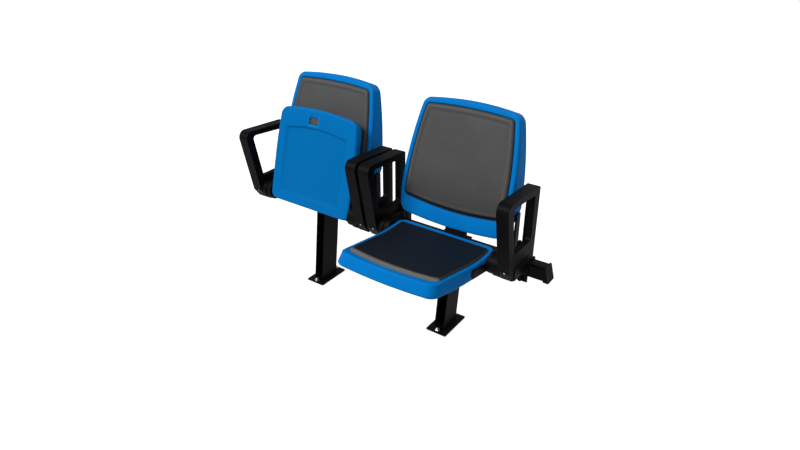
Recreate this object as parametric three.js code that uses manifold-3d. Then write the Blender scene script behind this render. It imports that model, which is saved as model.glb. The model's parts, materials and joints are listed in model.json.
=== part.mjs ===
// A beam-mounted pair of tip-up stadium seats on two floor posts, with four armrests.
// Millimetres. X runs along the row, the sitters face -Y, Z is up.
// The left seat is tipped up and the right seat is down, as each rests on its stop.

import * as THREE from 'three';
import { mergeVertices } from 'three/addons/utils/BufferGeometryUtils.js';
import Module from 'manifold-3d';

const wasm = await Module();
wasm.setup();

// Clearances
const fitGap = 0.3;        // between faces that touch
const boltGap = 0.6;       // round a bolt in its hole
const cutOver = 3;         // how far a cut runs past the face that it leaves

// Row
const seatPitch = 560;     // from one seat's middle to the next
const armGap = 14;         // between the two armrests in the middle of the row
const armWidth = 41;
const armInner = (seatPitch - armGap) / 2 - armWidth;   // a seat's middle to its armrest

// Beam
const beamDepth = 44;
const beamHeight = 50;
const beamWall = 3;
const beamCorner = 6;
const beamTop = 375;       // above the floor
const beamSetBack = 10;    // its middle, behind the middle of the base plates
const beamOverhang = 56;   // past the outer armrest
const beamFront = beamSetBack - beamDepth / 2;
const beamRear = beamSetBack + beamDepth / 2;
const beamBottom = beamTop - beamHeight;
const beamEnd = seatPitch / 2 + armInner + armWidth + beamOverhang;

// Beam caps
const capProud = 3;        // past the tube all round
const capTopLength = 4;
const capBottomLength = 18;
const capPlugLength = 16;

// Posts and base plates
const postLeftShare = -0.605;     // the left post's place from the row's middle, as a share of the pitch
const postRightShare = 0.4445;    // and the right post's
const postWidth = 42;
const postDepth = 90;
const postWall = 4;
const postCorner = 7;
const postFootSetBack = -3;       // its foot's middle, behind the middle of the base plate
const postLean = THREE.MathUtils.degToRad(7.5);
const plateWidth = 83;
const plateThick = 6;
const plateCorner = 3;
const anchorRadius = 5.5;
const anchorClear = 13.5;         // an anchor's middle, past half the post's depth
const anchorInset = 14;           // and from the plate's edge
const washerRadius = 10;
const washerThick = 2;
const nutRadius = 8.5;
const nutThick = 7;
const anchorReach = postDepth / 2 + anchorClear;   // from the plate's middle
const plateDepth = 2 * (anchorReach + anchorInset);

// Saddles
const saddleWidth = 83;
const saddleThick = 5;
const saddleFrontRise = 30;       // of the front lip above the beam's underside
const saddleRearOver = 3;         // behind the post

// Side brackets
const bracketSheet = 5;           // clamp plates
const cheekThick = 6;
const armSheet = 4;               // cantilever under the armrest
const bracketDrop = 19;           // of the clamp plates below the beam
const bracketLedge = 3;           // past the armrest's outer side
const cheekRise = 50;             // of the cheek's top edge above the beam
const earRise = 15;
const earWidth = 14;
const clampLip = 10;              // on the beam's top
const clampBoltRadius = 5;
const clampBoltDrop = 10;         // below the beam
const clampBoltHeadRadius = 9;
const clampBoltHeadThick = 7;
const clampBoltTail = 9;          // past the rear clamp plate

// Pivot and hinge
const pivotAhead = 98;            // of the beam's front face
const pivotRise = 29;             // above the beam's top
const seatSlope = THREE.MathUtils.degToRad(10);
const tipAngle = THREE.MathUtils.degToRad(95);
const headRadius = 40;            // the cheek's round end, and the cover's
const hubRadius = 37;
const coverThick = 14.4;
const coverTail = 80;             // its tail's reach behind the pivot
const coverTailHalf = 13;
const pivotRadius = 8;
const pivotHeadRadius = 10;
const pivotHeadThick = 6;
const stopRadius = 25;            // from the pivot to the stop lug
const stopLugRadius = 4;
const stopLugLength = 7;
const stopAngle = THREE.MathUtils.degToRad(-60);
const pivotY = beamFront - pivotAhead;
const pivotZ = beamTop + pivotRise;

// Wing arms
const wingThick = 13;
const wingBoss = 20.7;            // from the wing's outer face to the cover
const wingReach = 125;            // ahead of the pivot
const wingLow = 26;               // its lower edge below the pivot
const wingHigh = 2;               // its upper edge above the pivot
const wingHeel = 25;              // behind the pivot
const wingHeelHigh = 16;          // above the pivot
const wingHeelFront = 13;         // end of its raised part, ahead of the pivot
const wingCorner = 9;

// Across the hinge, outwards from the seat's middle
const cheekOuter = armInner - fitGap;
const cheekInner = cheekOuter - cheekThick;
const coverOuter = cheekInner - fitGap;
const coverInner = coverOuter - coverThick;
const hubOuter = coverInner - fitGap;
const wingOuter = hubOuter - wingBoss;
const wingInner = wingOuter - wingThick;

// Armrests
const armSoleRise = 33;           // of its sole above the beam
const armTopRise = 277;           // of its front top corner above the beam
const armTopFall = 12.5;          // of its top towards the rear
const armFrontReach = 189;        // of its front top corner ahead of the beam
const armLeg = 33;                // rear leg
const armToeReach = 106;          // of the toe's inner face ahead of the beam
const armToeThick = 34;
const armToeDrop = 42;            // of the toe below the sole
const armToeFoot = 9;             // width of its lowest end
const armTopThick = 21;
const armFrontThick = 33;
const armBottomBar = 53;
const armShell = 5.5;             // wall round its open side
const armWeb = 18;                // thickness left beside the open side
const armEdge = 3;                // softened edges
const armFrontCorner = 26;
const armRearCorner = 9;
const armLoopCorner = 12;
const armScrewRadius = 3;
const armScrewHead = 6.5;
const armScrewHeadThick = 3;
const armScrewLength = 22;
const armScrewDrop = 7;           // below the sole
const armSole = beamTop + armSoleRise;

// Seat pan, in its own frame: forward from its rear edge along its underside, up from its underside
const panRear = -9;
const panFront = 359;
const panPivotForward = 16;       // the pivot, ahead of the pan's own zero
const panPivotRise = 31;          // the pivot, above the pan's underside
const panThick = 42.5;
const panRearRise = 23;           // extra height at the rear edge
const panRiseEnd = 137;           // where the extra height ends
const panFrontBow = 15;
const panFrontDraw = 14;          // how far the sides draw in at the front
const panUnderPower = 1.5;        // of the curve that draws them in, below
const panRimPower = 1.35;         // and at the rim
const panRimDraw = 4;             // how far the rim's sides stand inside the underside's
const panRimRear = 9;             // the rim's rear edge, behind the underside's
const panRimFront = 2;            // the rim's front edge, behind the underside's
const panCorner = 28;
const panEdge = 7;                // rounding of the rim
const panUnderEdge = 14;          // rounding of the underside
const panRecess = 14;             // for the cushion
const panUnderFront = 293;        // end of the sunken field on the underside
const panUnderBow = 16;
const panUnderDepth = 5;
const panUnderHalf = 148;
const panUnderRear = 20;

// Seat cushion
const seatPadRear = -1;
const seatPadFront = 327;
const seatPadBow = 20;
const seatPadInset = 15;          // from the rim's side
const seatPadCorner = 22;
const seatPadCrown = 4;
const seatPadEdgeRise = 2;

// Tag plate on the underside
const tagWidth = 43;
const tagLength = 26;
const tagThick = 3;
const tagProud = 1;
const tagShift = -16;             // from the seat's middle
const tagForward = 315;
const tagCorner = 6;

// Back rest: up along its recline from the line where its cushion starts
const backBehindPivot = 59;
const backAbovePivot = 119;
const backRecline = THREE.MathUtils.degToRad(16.8);
const backLow = -78;
const backHigh = 343;
const backLowBow = 14;
const backHighBow = 14;
const backSideGap = 26;           // from its widest place to the armrest
const backWideAt = 40;            // height of its widest place
const backTopDraw = 36;           // how far its sides draw in at the top
const backLowDraw = 20;           // and at its lower edge
const backCorner = 24;
const backEdge = 9;
const backDish = 7;
const backWall = 4.5;
const backRecess = 8;             // for the cushion
const flangeTop = 40;             // depth of the side flange at the top
const flangeKneeDepth = 90;       // where it is deepest
const flangeKneeHeight = 35;      // of that place
const flangeFoot = 35;            // depth at its lower end
const flangeLip = 16;             // along the lower edge

// Back cushion
const backPadLow = -9;
const backPadHigh = 317;
const backPadLowBow = 7;
const backPadHighBow = 8;
const backPadInset = 18.5;
const backPadCorner = 22;
const backPadCrown = 5;
const backPadEdgeRise = 2.5;

// Back uprights and straps
const uprightThick = 6;
const uprightClear = 2;           // to the shell's widest place
const uprightRise = 155;          // above the beam
const uprightFrontInset = 12;     // behind the beam's front face
const uprightRearInset = 5;       // ahead of the beam's rear face
const uprightCorner = 9;
const uprightBossRadius = 7;
const uprightBossDrop = 18;       // below its top
const strapWidth = 84;
const strapThick = 5;
const strapKnee = 55;             // above the beam
const strapTouch = 5;             // where it meets the shell, up the recline
const strapTop = 95;

// Rounding of the moulded forms
const padGap = 1;                 // round a cushion in its recess
const lipEdge = 2;                // softened lip of a recess
const padRollShare = 0.8;         // height of a cushion's roll, as a share of its edge's rise
const padSideShares = [[0.06, 0], [0, 0.3], [0.12, 0.7], [0.25, 1]];   // in and down, of its depth
const edgeShares = [0, 0.5, 1];   // rings round an edge, as shares of a right angle
const cornerSteps = 4;
const sideSteps = 4;
const arcSegments = 4;
const roundSegments = 14;
const hexSides = 6;
const innerShares = [0.08, 0.35, 0.65, 0.88];   // rings across a panel, of its shorter half

// Materials
const shellPlastic = new THREE.MeshStandardMaterial({ color: 0x0a6fc0, roughness: 0.42, metalness: 0 });
const blackPlastic = new THREE.MeshStandardMaterial({ color: 0x17181a, roughness: 0.5, metalness: 0 });
const blackPaint = new THREE.MeshStandardMaterial({ color: 0x141517, roughness: 0.45, metalness: 0.3 });
const padLeather = new THREE.MeshStandardMaterial({ color: 0x3a3a3c, roughness: 0.5, metalness: 0 });
const zincSteel = new THREE.MeshStandardMaterial({ color: 0xb4b6b9, roughness: 0.35, metalness: 0.9 });

// Joining and cutting of closed solids
function toSolid(geometry) {
  const bare = geometry.clone();
  bare.deleteAttribute('normal');
  bare.deleteAttribute('uv');
  const merged = mergeVertices(bare);
  const vertProperties = new Float32Array(merged.attributes.position.array);
  const triVerts = new Uint32Array(merged.index.array);
  return new wasm.Manifold(new wasm.Mesh({ numProp: 3, vertProperties, triVerts }));
}

function toGeometry(solid) {
  const { vertProperties, triVerts } = solid.getMesh();
  const geometry = new THREE.BufferGeometry();
  geometry.setAttribute('position', new THREE.BufferAttribute(vertProperties, 3));
  geometry.setIndex(new THREE.BufferAttribute(triVerts, 1));
  geometry.computeVertexNormals();
  return geometry;
}

function join(...geometries) {
  return toGeometry(geometries.map(toSolid).reduce((all, next) => all.add(next)));
}

function cut(geometry, ...tools) {
  return toGeometry(tools.map(toSolid).reduce((rest, tool) => rest.subtract(tool), toSolid(geometry)));
}

// Basic forms. An outline's points are [y, z, corner radius].
function roundedPath(points, path = new THREE.Shape()) {
  const corners = points.map(([y, z]) => new THREE.Vector2(y, z));
  points.forEach(([, , radius = 0], i) => {
    const corner = corners[i];
    const before = corners.at(i - 1).clone().sub(corner).normalize();
    const after = corners[(i + 1) % corners.length].clone().sub(corner).normalize();
    const reach = radius / Math.tan(Math.acos(before.dot(after)) / 2);
    const start = corner.clone().addScaledVector(before, reach);
    const end = corner.clone().addScaledVector(after, reach);
    if (i === 0) path.moveTo(start.x, start.y);
    else path.lineTo(start.x, start.y);
    if (radius > 0) path.quadraticCurveTo(corner.x, corner.y, end.x, end.y);
  });
  path.closePath();
  return path;
}

const acrossRow = new THREE.Matrix4().makeBasis(
  new THREE.Vector3(0, 1, 0), new THREE.Vector3(0, 0, 1), new THREE.Vector3(1, 0, 0));

function extrudeAcross(shape, from, to, edge = 0) {
  const geometry = new THREE.ExtrudeGeometry(shape, {
    depth: to - from - 2 * edge,
    bevelEnabled: edge > 0,
    bevelThickness: edge,
    bevelSize: edge,
    bevelOffset: -edge,
    bevelSegments: 1,
    curveSegments: arcSegments,
  });
  geometry.translate(0, 0, from + edge);
  return geometry.applyMatrix4(acrossRow);
}

function plateAcross(points, from, to, edge = 0) {
  return extrudeAcross(roundedPath(points), from, to, edge);
}

function boxBetween([x0, y0, z0], [x1, y1, z1]) {
  const geometry = new THREE.BoxGeometry(x1 - x0, y1 - y0, z1 - z0);
  return geometry.translate((x0 + x1) / 2, (y0 + y1) / 2, (z0 + z1) / 2);
}

function rodAcross(radius, from, to, y = 0, z = 0, sides = roundSegments) {
  const geometry = new THREE.CylinderGeometry(radius, radius, to - from, sides);
  return geometry.rotateZ(-Math.PI / 2).translate((from + to) / 2, y, z);
}

function rodBack(radius, from, to, x, z, sides = roundSegments) {
  const geometry = new THREE.CylinderGeometry(radius, radius, to - from, sides);
  return geometry.translate(x, (from + to) / 2, z);
}

function rodUp(radius, from, to, x, y, sides = roundSegments) {
  const geometry = new THREE.CylinderGeometry(radius, radius, to - from, sides);
  return geometry.rotateX(Math.PI / 2).translate(x, y, (from + to) / 2);
}

function rectangle(y0, y1, z0, z1, radius = 0) {
  return [[y0, z0, radius], [y1, z0, radius], [y1, z1, radius], [y0, z1, radius]];
}

function ringSpread(ring) {
  return ring[0].distanceTo(ring[Math.floor(ring.length / 2)]);
}

// A closed skin through rings of points; the first and the last ring are single points.
// Each face is split from its outer ring, so that a cushion and the floor under it keep an even gap.
function skin(rings) {
  const positions = rings.flat().flatMap((point) => point.toArray());
  const starts = rings.map((_, i) => rings.slice(0, i).reduce((sum, ring) => sum + ring.length, 0));
  const index = [];
  for (let i = 0; i + 1 < rings.length; i++) {
    const count = Math.max(rings[i].length, rings[i + 1].length);
    const widens = ringSpread(rings[i + 1]) >= ringSpread(rings[i]);
    for (let j = 0; j < count; j++) {
      const a = starts[i] + j % rings[i].length;
      const b = starts[i] + (j + 1) % rings[i].length;
      const c = starts[i + 1] + j % rings[i + 1].length;
      const d = starts[i + 1] + (j + 1) % rings[i + 1].length;
      const faces = widens ? [[a, c, d], [a, d, b]] : [[a, c, b], [b, c, d]];
      index.push(...faces.filter(([p, q, r]) => p !== q && q !== r && r !== p).flat());
    }
  }
  const geometry = new THREE.BufferGeometry();
  geometry.setAttribute('position', new THREE.Float32BufferAttribute(positions, 3));
  geometry.setIndex(index);
  geometry.computeVertexNormals();
  return geometry;
}

// Points round a rectangle with round corners, as shares from -1 to 1 of its half sizes
function ringShares(halfWidth, halfLength, radius, inset) {
  const width = halfWidth - inset;
  const length = halfLength - inset;
  const corner = Math.min(Math.max(radius - inset, radius / 2), width, length);
  const arcs = [[1, 1], [-1, 1], [-1, -1], [1, -1]].map(([across, along], quarter) =>
    Array.from({ length: cornerSteps + 1 }, (_, step) => {
      const angle = (quarter + step / cornerSteps) * Math.PI / 2;
      return new THREE.Vector2(
        (across * (width - corner) + corner * Math.cos(angle)) / halfWidth,
        (along * (length - corner) + corner * Math.sin(angle)) / halfLength);
    }));
  return arcs.flatMap((arc, quarter) => {
    const next = arcs[(quarter + 1) % arcs.length][0];
    const side = Array.from({ length: sideSteps - 1 }, (_, step) =>
      arc.at(-1).clone().lerp(next, (step + 1) / sideSteps));
    return [...arc, ...side];
  });
}

// A ring on a panel: plan gives its ends, bows and sides, place turns it into a point
function panelRing(plan, inset, place) {
  const middle = (plan.low + plan.high) / 2;
  const shares = ringShares(plan.side(middle), (plan.high - plan.low) / 2, plan.corner, inset);
  return shares.map(({ x: across, y: along }) => panelPoint(plan, across, along, place));
}

function panelPoint(plan, across, along, place) {
  const low = plan.low + plan.lowBow * across ** 2;
  const high = plan.high - plan.highBow * across ** 2;
  const up = THREE.MathUtils.lerp(low, high, (along + 1) / 2);
  return place(across * plan.side(up), up, across, along);
}

// Rings across a panel from its middle out to its edge
function innerRings(plan, place) {
  const half = Math.min(plan.side((plan.low + plan.high) / 2), (plan.high - plan.low) / 2);
  const rings = innerShares.map((share) => panelRing(plan, half * (1 - share), place));
  return [[panelPoint(plan, 0, 0, place)], ...rings];
}

// Rings round an edge, from a panel's face to its side
function edgeRings(plan, edge, level) {
  return edgeShares.map((share) => {
    const angle = share * Math.PI / 2;
    return panelRing(plan, edge * (1 - Math.sin(angle)), level(edge * (1 - Math.cos(angle))));
  });
}

// Rings from the floor of a recess up its side to its lip
function recessRings(plan, depth, level) {
  return [
    panelRing(plan, -padGap, level(depth)),
    panelRing(plan, -padGap, level(lipEdge)),
    panelRing(plan, -padGap - lipEdge, level(0)),
  ];
}

// Beam and its caps
function beamGeometry() {
  const outer = roundedPath(rectangle(beamFront, beamRear, beamBottom, beamTop, beamCorner));
  const inner = rectangle(beamFront + beamWall, beamRear - beamWall, beamBottom + beamWall,
    beamTop - beamWall, beamCorner - beamWall);
  outer.holes.push(roundedPath(inner.reverse(), new THREE.Path()));
  return extrudeAcross(outer, -beamEnd, beamEnd);
}

function capGeometry() {
  const start = beamEnd + fitGap;
  const low = beamBottom - capProud;
  const high = beamTop + capProud;
  const outline = rectangle(beamFront - capProud, beamRear + capProud, low, high, beamCorner);
  const flange = plateAcross(outline, start, start + capBottomLength);
  const position = flange.attributes.position;
  for (let i = 0; i < position.count; i++) {
    if (position.getX(i) < start + capBottomLength / 2) continue;
    const rise = (position.getZ(i) - low) / (high - low);
    position.setX(i, start + THREE.MathUtils.lerp(capBottomLength, capTopLength, rise));
  }
  const plugInset = beamWall + fitGap;
  const plug = plateAcross(rectangle(beamFront + plugInset, beamRear - plugInset, beamBottom + plugInset,
    beamTop - plugInset, beamCorner - beamWall), start - capPlugLength, start + capTopLength / 2);
  return join(flange, plug);
}

// Posts, their base plates, saddles and anchors
const postBottom = plateThick + fitGap;
const saddleBottom = beamBottom - fitGap - saddleThick;
const postTop = saddleBottom - fitGap;

function postGeometry() {
  const half = postWidth / 2;
  const front = postFootSetBack - postDepth / 2;
  const rear = postFootSetBack + postDepth / 2;
  const inside = postCorner - postWall;
  const section = roundedPath([
    [-half, front], [-half + postWall, front], [-half + postWall, rear - postWall, inside],
    [half - postWall, rear - postWall, inside], [half - postWall, front], [half, front],
    [half, rear, postCorner], [-half, rear, postCorner],
  ]);
  const geometry = new THREE.ExtrudeGeometry(section, {
    depth: postTop - postBottom, bevelEnabled: false, curveSegments: arcSegments,
  });
  const lean = new THREE.Matrix4().makeShear(0, 0, 0, 0, 0, Math.tan(postLean));
  return geometry.applyMatrix4(lean).translate(0, 0, postBottom);
}

function basePlateGeometry() {
  const half = plateWidth / 2;
  const outline = roundedPath(rectangle(-half, half, -plateDepth / 2, plateDepth / 2, plateCorner));
  const plate = new THREE.ExtrudeGeometry(outline, {
    depth: plateThick, bevelEnabled: false, curveSegments: arcSegments,
  });
  const holes = [-anchorReach, anchorReach].map((y) =>
    rodUp(anchorRadius + boltGap, -cutOver, plateThick + cutOver, 0, y));
  return cut(plate, ...holes);
}

function anchorGeometry() {
  const washerTop = postBottom + washerThick;
  const shank = rodUp(anchorRadius, fitGap, washerTop, 0, 0);
  const washer = rodUp(washerRadius, postBottom, washerTop, 0, 0);
  const stud = rodUp(anchorRadius, postBottom, washerTop + nutThick + washerThick, 0, 0);
  const nut = rodUp(nutRadius, washerTop - washerThick / 2, washerTop + nutThick, 0, 0, hexSides);
  return join(shank, washer, stud, nut);
}

function saddleGeometry() {
  const postLeanBack = Math.tan(postLean) * (postTop - postBottom);
  const rear = postFootSetBack + postDepth / 2 + postLeanBack + saddleRearOver;
  const frontFace = beamFront - fitGap;
  const rearFace = beamRear + fitGap;
  const floor = saddleBottom + saddleThick;
  return plateAcross([
    [frontFace - saddleThick, saddleBottom], [rear, saddleBottom], [rear, floor],
    [rearFace + saddleThick, floor], [rearFace + saddleThick, beamTop], [rearFace, beamTop],
    [rearFace, floor], [frontFace, floor], [frontFace, beamBottom + saddleFrontRise],
    [frontFace - saddleThick, beamBottom + saddleFrontRise],
  ], -saddleWidth / 2, saddleWidth / 2);
}

// Side brackets, drawn for the right-hand side of a seat whose middle is at zero
const bracketOuter = armInner + armWidth + bracketLedge;
const bracketFront = beamFront - armToeReach + fitGap;
const clampFrontFace = beamFront - fitGap - bracketSheet;
const clampRearFace = beamRear + fitGap + bracketSheet;
const clampBottom = beamBottom - bracketDrop;
const clampBoltZ = beamBottom - clampBoltDrop;
const clampBoltX = armInner + armWidth / 2;

function sideBracketGeometry() {
  const top = armSole - fitGap;
  const bottom = pivotZ - headRadius;
  const rear = beamFront - fitGap;
  const overBeam = beamTop + fitGap;
  const cheekTop = beamTop + cheekRise;
  const cheekEnd = beamRear - clampLip - fitGap;
  const cheek = plateAcross([
    [clampFrontFace, clampBottom], [rear, clampBottom], [rear, overBeam], [cheekEnd, overBeam],
    [cheekEnd, cheekTop, armSheet], [cheekEnd - earWidth, cheekTop + earRise, armSheet],
    [cheekEnd - 2 * earWidth, cheekTop + earRise, armSheet], [cheekEnd - 2 * earWidth - armSheet, cheekTop],
    [pivotY, cheekTop], [pivotY, bottom], [clampFrontFace, bottom],
  ], cheekInner, cheekOuter);
  const head = rodAcross(headRadius, cheekInner, cheekOuter, pivotY, pivotZ, 2 * roundSegments);
  const inside = cheekOuter - cheekThick / 2;
  const cover = boxBetween([inside, bracketFront, top - armSheet], [bracketOuter, rear, top]);
  const side = boxBetween([bracketOuter - armSheet, bracketFront, bottom], [bracketOuter, rear, top]);
  const clamp = boxBetween([inside, clampFrontFace, clampBottom], [bracketOuter, rear, top]);
  const pivotHole = rodAcross(pivotRadius + fitGap, cheekInner - cutOver, cheekOuter + cutOver, pivotY, pivotZ);
  const boltHole = rodBack(clampBoltRadius + boltGap, clampFrontFace - cutOver, rear + cutOver,
    clampBoltX, clampBoltZ);
  return cut(join(cheek, head, cover, side, clamp), pivotHole, boltHole);
}

function clampPlateGeometry(from, to, boltPlaces) {
  const face = beamRear + fitGap;
  const overBeam = beamTop + fitGap;
  const plate = plateAcross([
    [face, clampBottom], [clampRearFace, clampBottom], [clampRearFace, overBeam + bracketSheet, armSheet],
    [beamRear - clampLip, overBeam + bracketSheet], [beamRear - clampLip, overBeam], [face, overBeam],
  ], from, to);
  const holes = boltPlaces.map((x) =>
    rodBack(clampBoltRadius + boltGap, face - cutOver, clampRearFace + cutOver, x, clampBoltZ));
  return cut(plate, ...holes);
}

function clampBoltGeometry() {
  const headFace = clampFrontFace - fitGap;
  const nutFace = clampRearFace + fitGap;
  const thick = clampBoltHeadThick;
  const radius = clampBoltHeadRadius;
  return join(
    rodBack(clampBoltRadius, headFace - thick / 2, nutFace + clampBoltTail, 0, clampBoltZ),
    rodBack(radius, headFace - thick, headFace, 0, clampBoltZ, hexSides),
    rodBack(radius, nutFace, nutFace + thick, 0, clampBoltZ, hexSides));
}

// Hinge cover with the fixed stop lug
function hingeCoverGeometry() {
  const disc = rodAcross(headRadius, coverInner, coverOuter, pivotY, pivotZ, 2 * roundSegments);
  const tail = plateAcross([
    [pivotY, pivotZ - headRadius + fitGap], [pivotY + coverTail, pivotZ - 2 * coverTailHalf, coverTailHalf / 2],
    [pivotY + coverTail, pivotZ, coverTailHalf / 2], [pivotY, pivotZ + headRadius - fitGap],
  ], coverInner, coverOuter);
  const lugY = pivotY + stopRadius * Math.cos(stopAngle);
  const lugZ = pivotZ + stopRadius * Math.sin(stopAngle);
  const lug = rodAcross(stopLugRadius, coverInner - stopLugLength, coverOuter - coverThick / 2, lugY, lugZ);
  const bore = rodAcross(pivotRadius + boltGap, coverInner - cutOver, coverOuter + cutOver, pivotY, pivotZ);
  return cut(join(disc, tail, lug), bore);
}

function pivotBoltGeometry() {
  const start = wingInner + fitGap;
  return join(
    rodAcross(pivotHeadRadius, start, start + pivotHeadThick, 0, 0),
    rodAcross(pivotRadius, start + pivotHeadThick / 2, cheekOuter - fitGap, 0, 0));
}

// Wing arms, in the pan's frame with the pivot at zero
function stopSlot() {
  const half = stopLugRadius + fitGap;
  const from = stopAngle + seatSlope;
  const to = from + tipAngle;
  const slot = new THREE.Shape();
  slot.absarc(0, 0, stopRadius + half, from, to, false);
  slot.absarc(stopRadius * Math.cos(to), stopRadius * Math.sin(to), half, to, to + Math.PI, false);
  slot.absarc(0, 0, stopRadius - half, to, from, true);
  slot.absarc(stopRadius * Math.cos(from), stopRadius * Math.sin(from), half, from + Math.PI,
    from + 2 * Math.PI, false);
  return extrudeAcross(slot, hubOuter - stopLugLength - fitGap, hubOuter + cutOver);
}

function wingGeometry() {
  const plate = plateAcross([
    [wingHeel, -wingLow, wingCorner], [wingHeel, wingHeelHigh, wingCorner],
    [-wingHeelFront, wingHeelHigh], [-wingHeelFront - wingHeel, wingHigh], [-wingReach, wingHigh, wingCorner],
    [-wingReach, -wingLow, wingCorner],
  ], wingInner, wingOuter);
  const hub = rodAcross(hubRadius, wingOuter - fitGap, hubOuter, 0, 0, 2 * roundSegments);
  const bore = rodAcross(pivotRadius + boltGap, wingInner - cutOver, hubOuter + cutOver);
  const counterbore = rodAcross(pivotHeadRadius + boltGap, wingInner - cutOver,
    wingInner + pivotHeadThick + 2 * fitGap);
  return cut(join(plate, hub), bore, counterbore, stopSlot());
}

// Armrests
function armrestPoints() {
  const top = beamTop + armTopRise;
  const rear = beamFront + armLeg;
  const toeBack = beamFront - armToeReach;
  const toeFront = toeBack - armToeThick;
  const foot = armSole - armToeDrop;
  return [
    [armFrontTop, top, armFrontCorner], [toeFront, armSole - armScrewDrop, armLoopCorner],
    [toeBack - armToeFoot, foot], [toeBack, foot], [toeBack, armSole], [beamFront, armSole],
    [beamFront, beamTop + fitGap], [rear, beamTop + fitGap], [rear, top - armTopFall, armRearCorner],
  ];
}

const armFrontTop = beamFront - armFrontReach;
const armFrontSlope = (armFrontReach - armToeReach - armToeThick) / (armTopRise - armSoleRise + armScrewDrop);

// Its front edge at a height
function armFrontAt(z) {
  return armFrontTop + armFrontSlope * (beamTop + armTopRise - z);
}

function armrestLoop() {
  const top = beamTop + armTopRise - armTopThick;
  const bottom = armSole + armBottomBar;
  return [
    [beamFront, bottom, armLoopCorner], [beamFront, top - armTopFall, armLoopCorner],
    [armFrontAt(top) + armFrontThick, top, armLoopCorner],
    [armFrontAt(bottom) + armFrontThick, bottom, armLoopCorner],
  ];
}

// The hollow of its open side
function armrestHollow() {
  const top = beamTop + armTopRise - armShell;
  const floor = armSole + armShell;
  const rear = beamFront + armLeg - armShell;
  const outline = roundedPath([
    [armFrontAt(top) + armShell, top, armFrontCorner - armShell],
    [armFrontAt(floor) + armShell, floor, armShell], [rear, floor, armShell],
    [rear, top - armTopFall, armRearCorner - armShell],
  ]);
  return extrudeAcross(outline, armInner - cutOver, armInner + armWidth - armWeb);
}

function armrestGeometry() {
  const outline = roundedPath(armrestPoints());
  outline.holes.push(roundedPath(armrestLoop(), new THREE.Path()));
  const body = extrudeAcross(outline, armInner, armInner + armWidth, armEdge);
  const middle = armInner + armWidth / 2;
  const seat = armScrewSeat();
  const shank = rodBack(armScrewRadius + fitGap, seat - cutOver, seat + armScrewLength + 2 * fitGap, middle,
    armSole - armScrewDrop);
  const head = rodBack(armScrewHead + fitGap, seat - armScrewLength, seat, middle, armSole - armScrewDrop);
  return cut(body, shank, head, armrestHollow());
}

function armScrewSeat() {
  return beamFront - armToeReach - armToeThick + armScrewHeadThick + armEdge;
}

function armScrewGeometry() {
  const seat = armScrewSeat() - fitGap;
  return join(
    rodBack(armScrewHead, seat - armScrewHeadThick, seat, 0, armSole - armScrewDrop),
    rodBack(armScrewRadius, seat - armScrewHeadThick / 2, seat + armScrewLength, 0, armSole - armScrewDrop));
}

// Seat pan and its cushion, in the pan's frame with the pivot at zero
const underSide = wingOuter - fitGap;

function drawnIn(widest, draw, from, to, power) {
  return (at) => widest - draw * (Math.max(at - from, 0) / (to - from)) ** power;
}

const panUnderPlan = {
  low: panRear, high: panFront, lowBow: 0, highBow: panFrontBow, corner: panCorner,
  side: drawnIn(underSide, panFrontDraw, panFront / 2, panFront, panUnderPower),
};
const panRimPlan = {
  low: panRear - panRimRear, high: panFront - panRimFront, lowBow: 0, highBow: panFrontBow, corner: panCorner,
  side: drawnIn(underSide - panRimDraw, panFrontDraw, panFront / 6, panFront, panRimPower),
};
const panFieldPlan = {
  low: panUnderRear, high: panUnderFront, lowBow: 0, highBow: panUnderBow, corner: panCorner,
  side: () => panUnderHalf,
};
const seatPadPlan = {
  low: seatPadRear, high: seatPadFront, lowBow: 0, highBow: seatPadBow, corner: seatPadCorner,
  side: (at) => panRimPlan.side(at) - seatPadInset,
};

function panTop(forward) {
  const share = Math.max(panRiseEnd - forward, 0) / (panRiseEnd - panRear + panRimRear);
  return panThick + panRearRise * share ** 2;
}

function panPlace(height) {
  return (x, forward, across, along) =>
    new THREE.Vector3(-x, panPivotForward - forward, height(forward, across, along) - panPivotRise);
}

function seatPanGeometry() {
  const top = (drop) => panPlace((forward) => panTop(forward) - drop);
  const bottom = (rise) => panPlace(() => rise);
  const fieldLength = panUnderFront - panUnderRear;
  const field = panPlace((forward) => panUnderDepth * Math.max(forward - panUnderRear, 0) / fieldLength);
  const body = skin([
    ...innerRings(seatPadPlan, top(panRecess)),
    ...recessRings(seatPadPlan, panRecess, top),
    ...edgeRings(panRimPlan, panEdge, top),
    ...edgeRings(panUnderPlan, panUnderEdge, bottom).reverse(),
    panelRing(panFieldPlan, -panUnderDepth, bottom(0)),
    ...innerRings(panFieldPlan, field).reverse(),
  ]);
  const tagHole = tagBlock(fitGap, tagThick + fitGap);
  return cut(body, wingPocket(1), wingPocket(-1), tagHole);
}

function wingPocket(side) {
  const rear = panPivotForward - panRear + panRimRear + cutOver;
  const front = -wingReach - fitGap;
  const kneeFront = -wingHeelFront - wingHeel - fitGap;
  const low = -wingLow - fitGap;
  const high = wingHigh + fitGap;
  const pocket = plateAcross([
    [rear, low], [rear, wingHeelHigh + fitGap], [-wingHeelFront - fitGap, wingHeelHigh + fitGap],
    [kneeFront, high], [front, high], [front, low],
  ], wingInner - fitGap, wingOuter + cutOver);
  return side > 0 ? pocket : mirrored(pocket);
}

function tagBlock(grow, depth) {
  const width = tagWidth / 2 + grow;
  const length = tagLength / 2 + grow;
  const shape = roundedPath(rectangle(-width, width, -length, length, tagCorner));
  const block = new THREE.ExtrudeGeometry(shape, {
    depth: depth + tagProud, bevelEnabled: false, curveSegments: arcSegments,
  });
  return block.translate(tagShift, panPivotForward - tagForward, -panPivotRise - tagProud);
}

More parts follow.
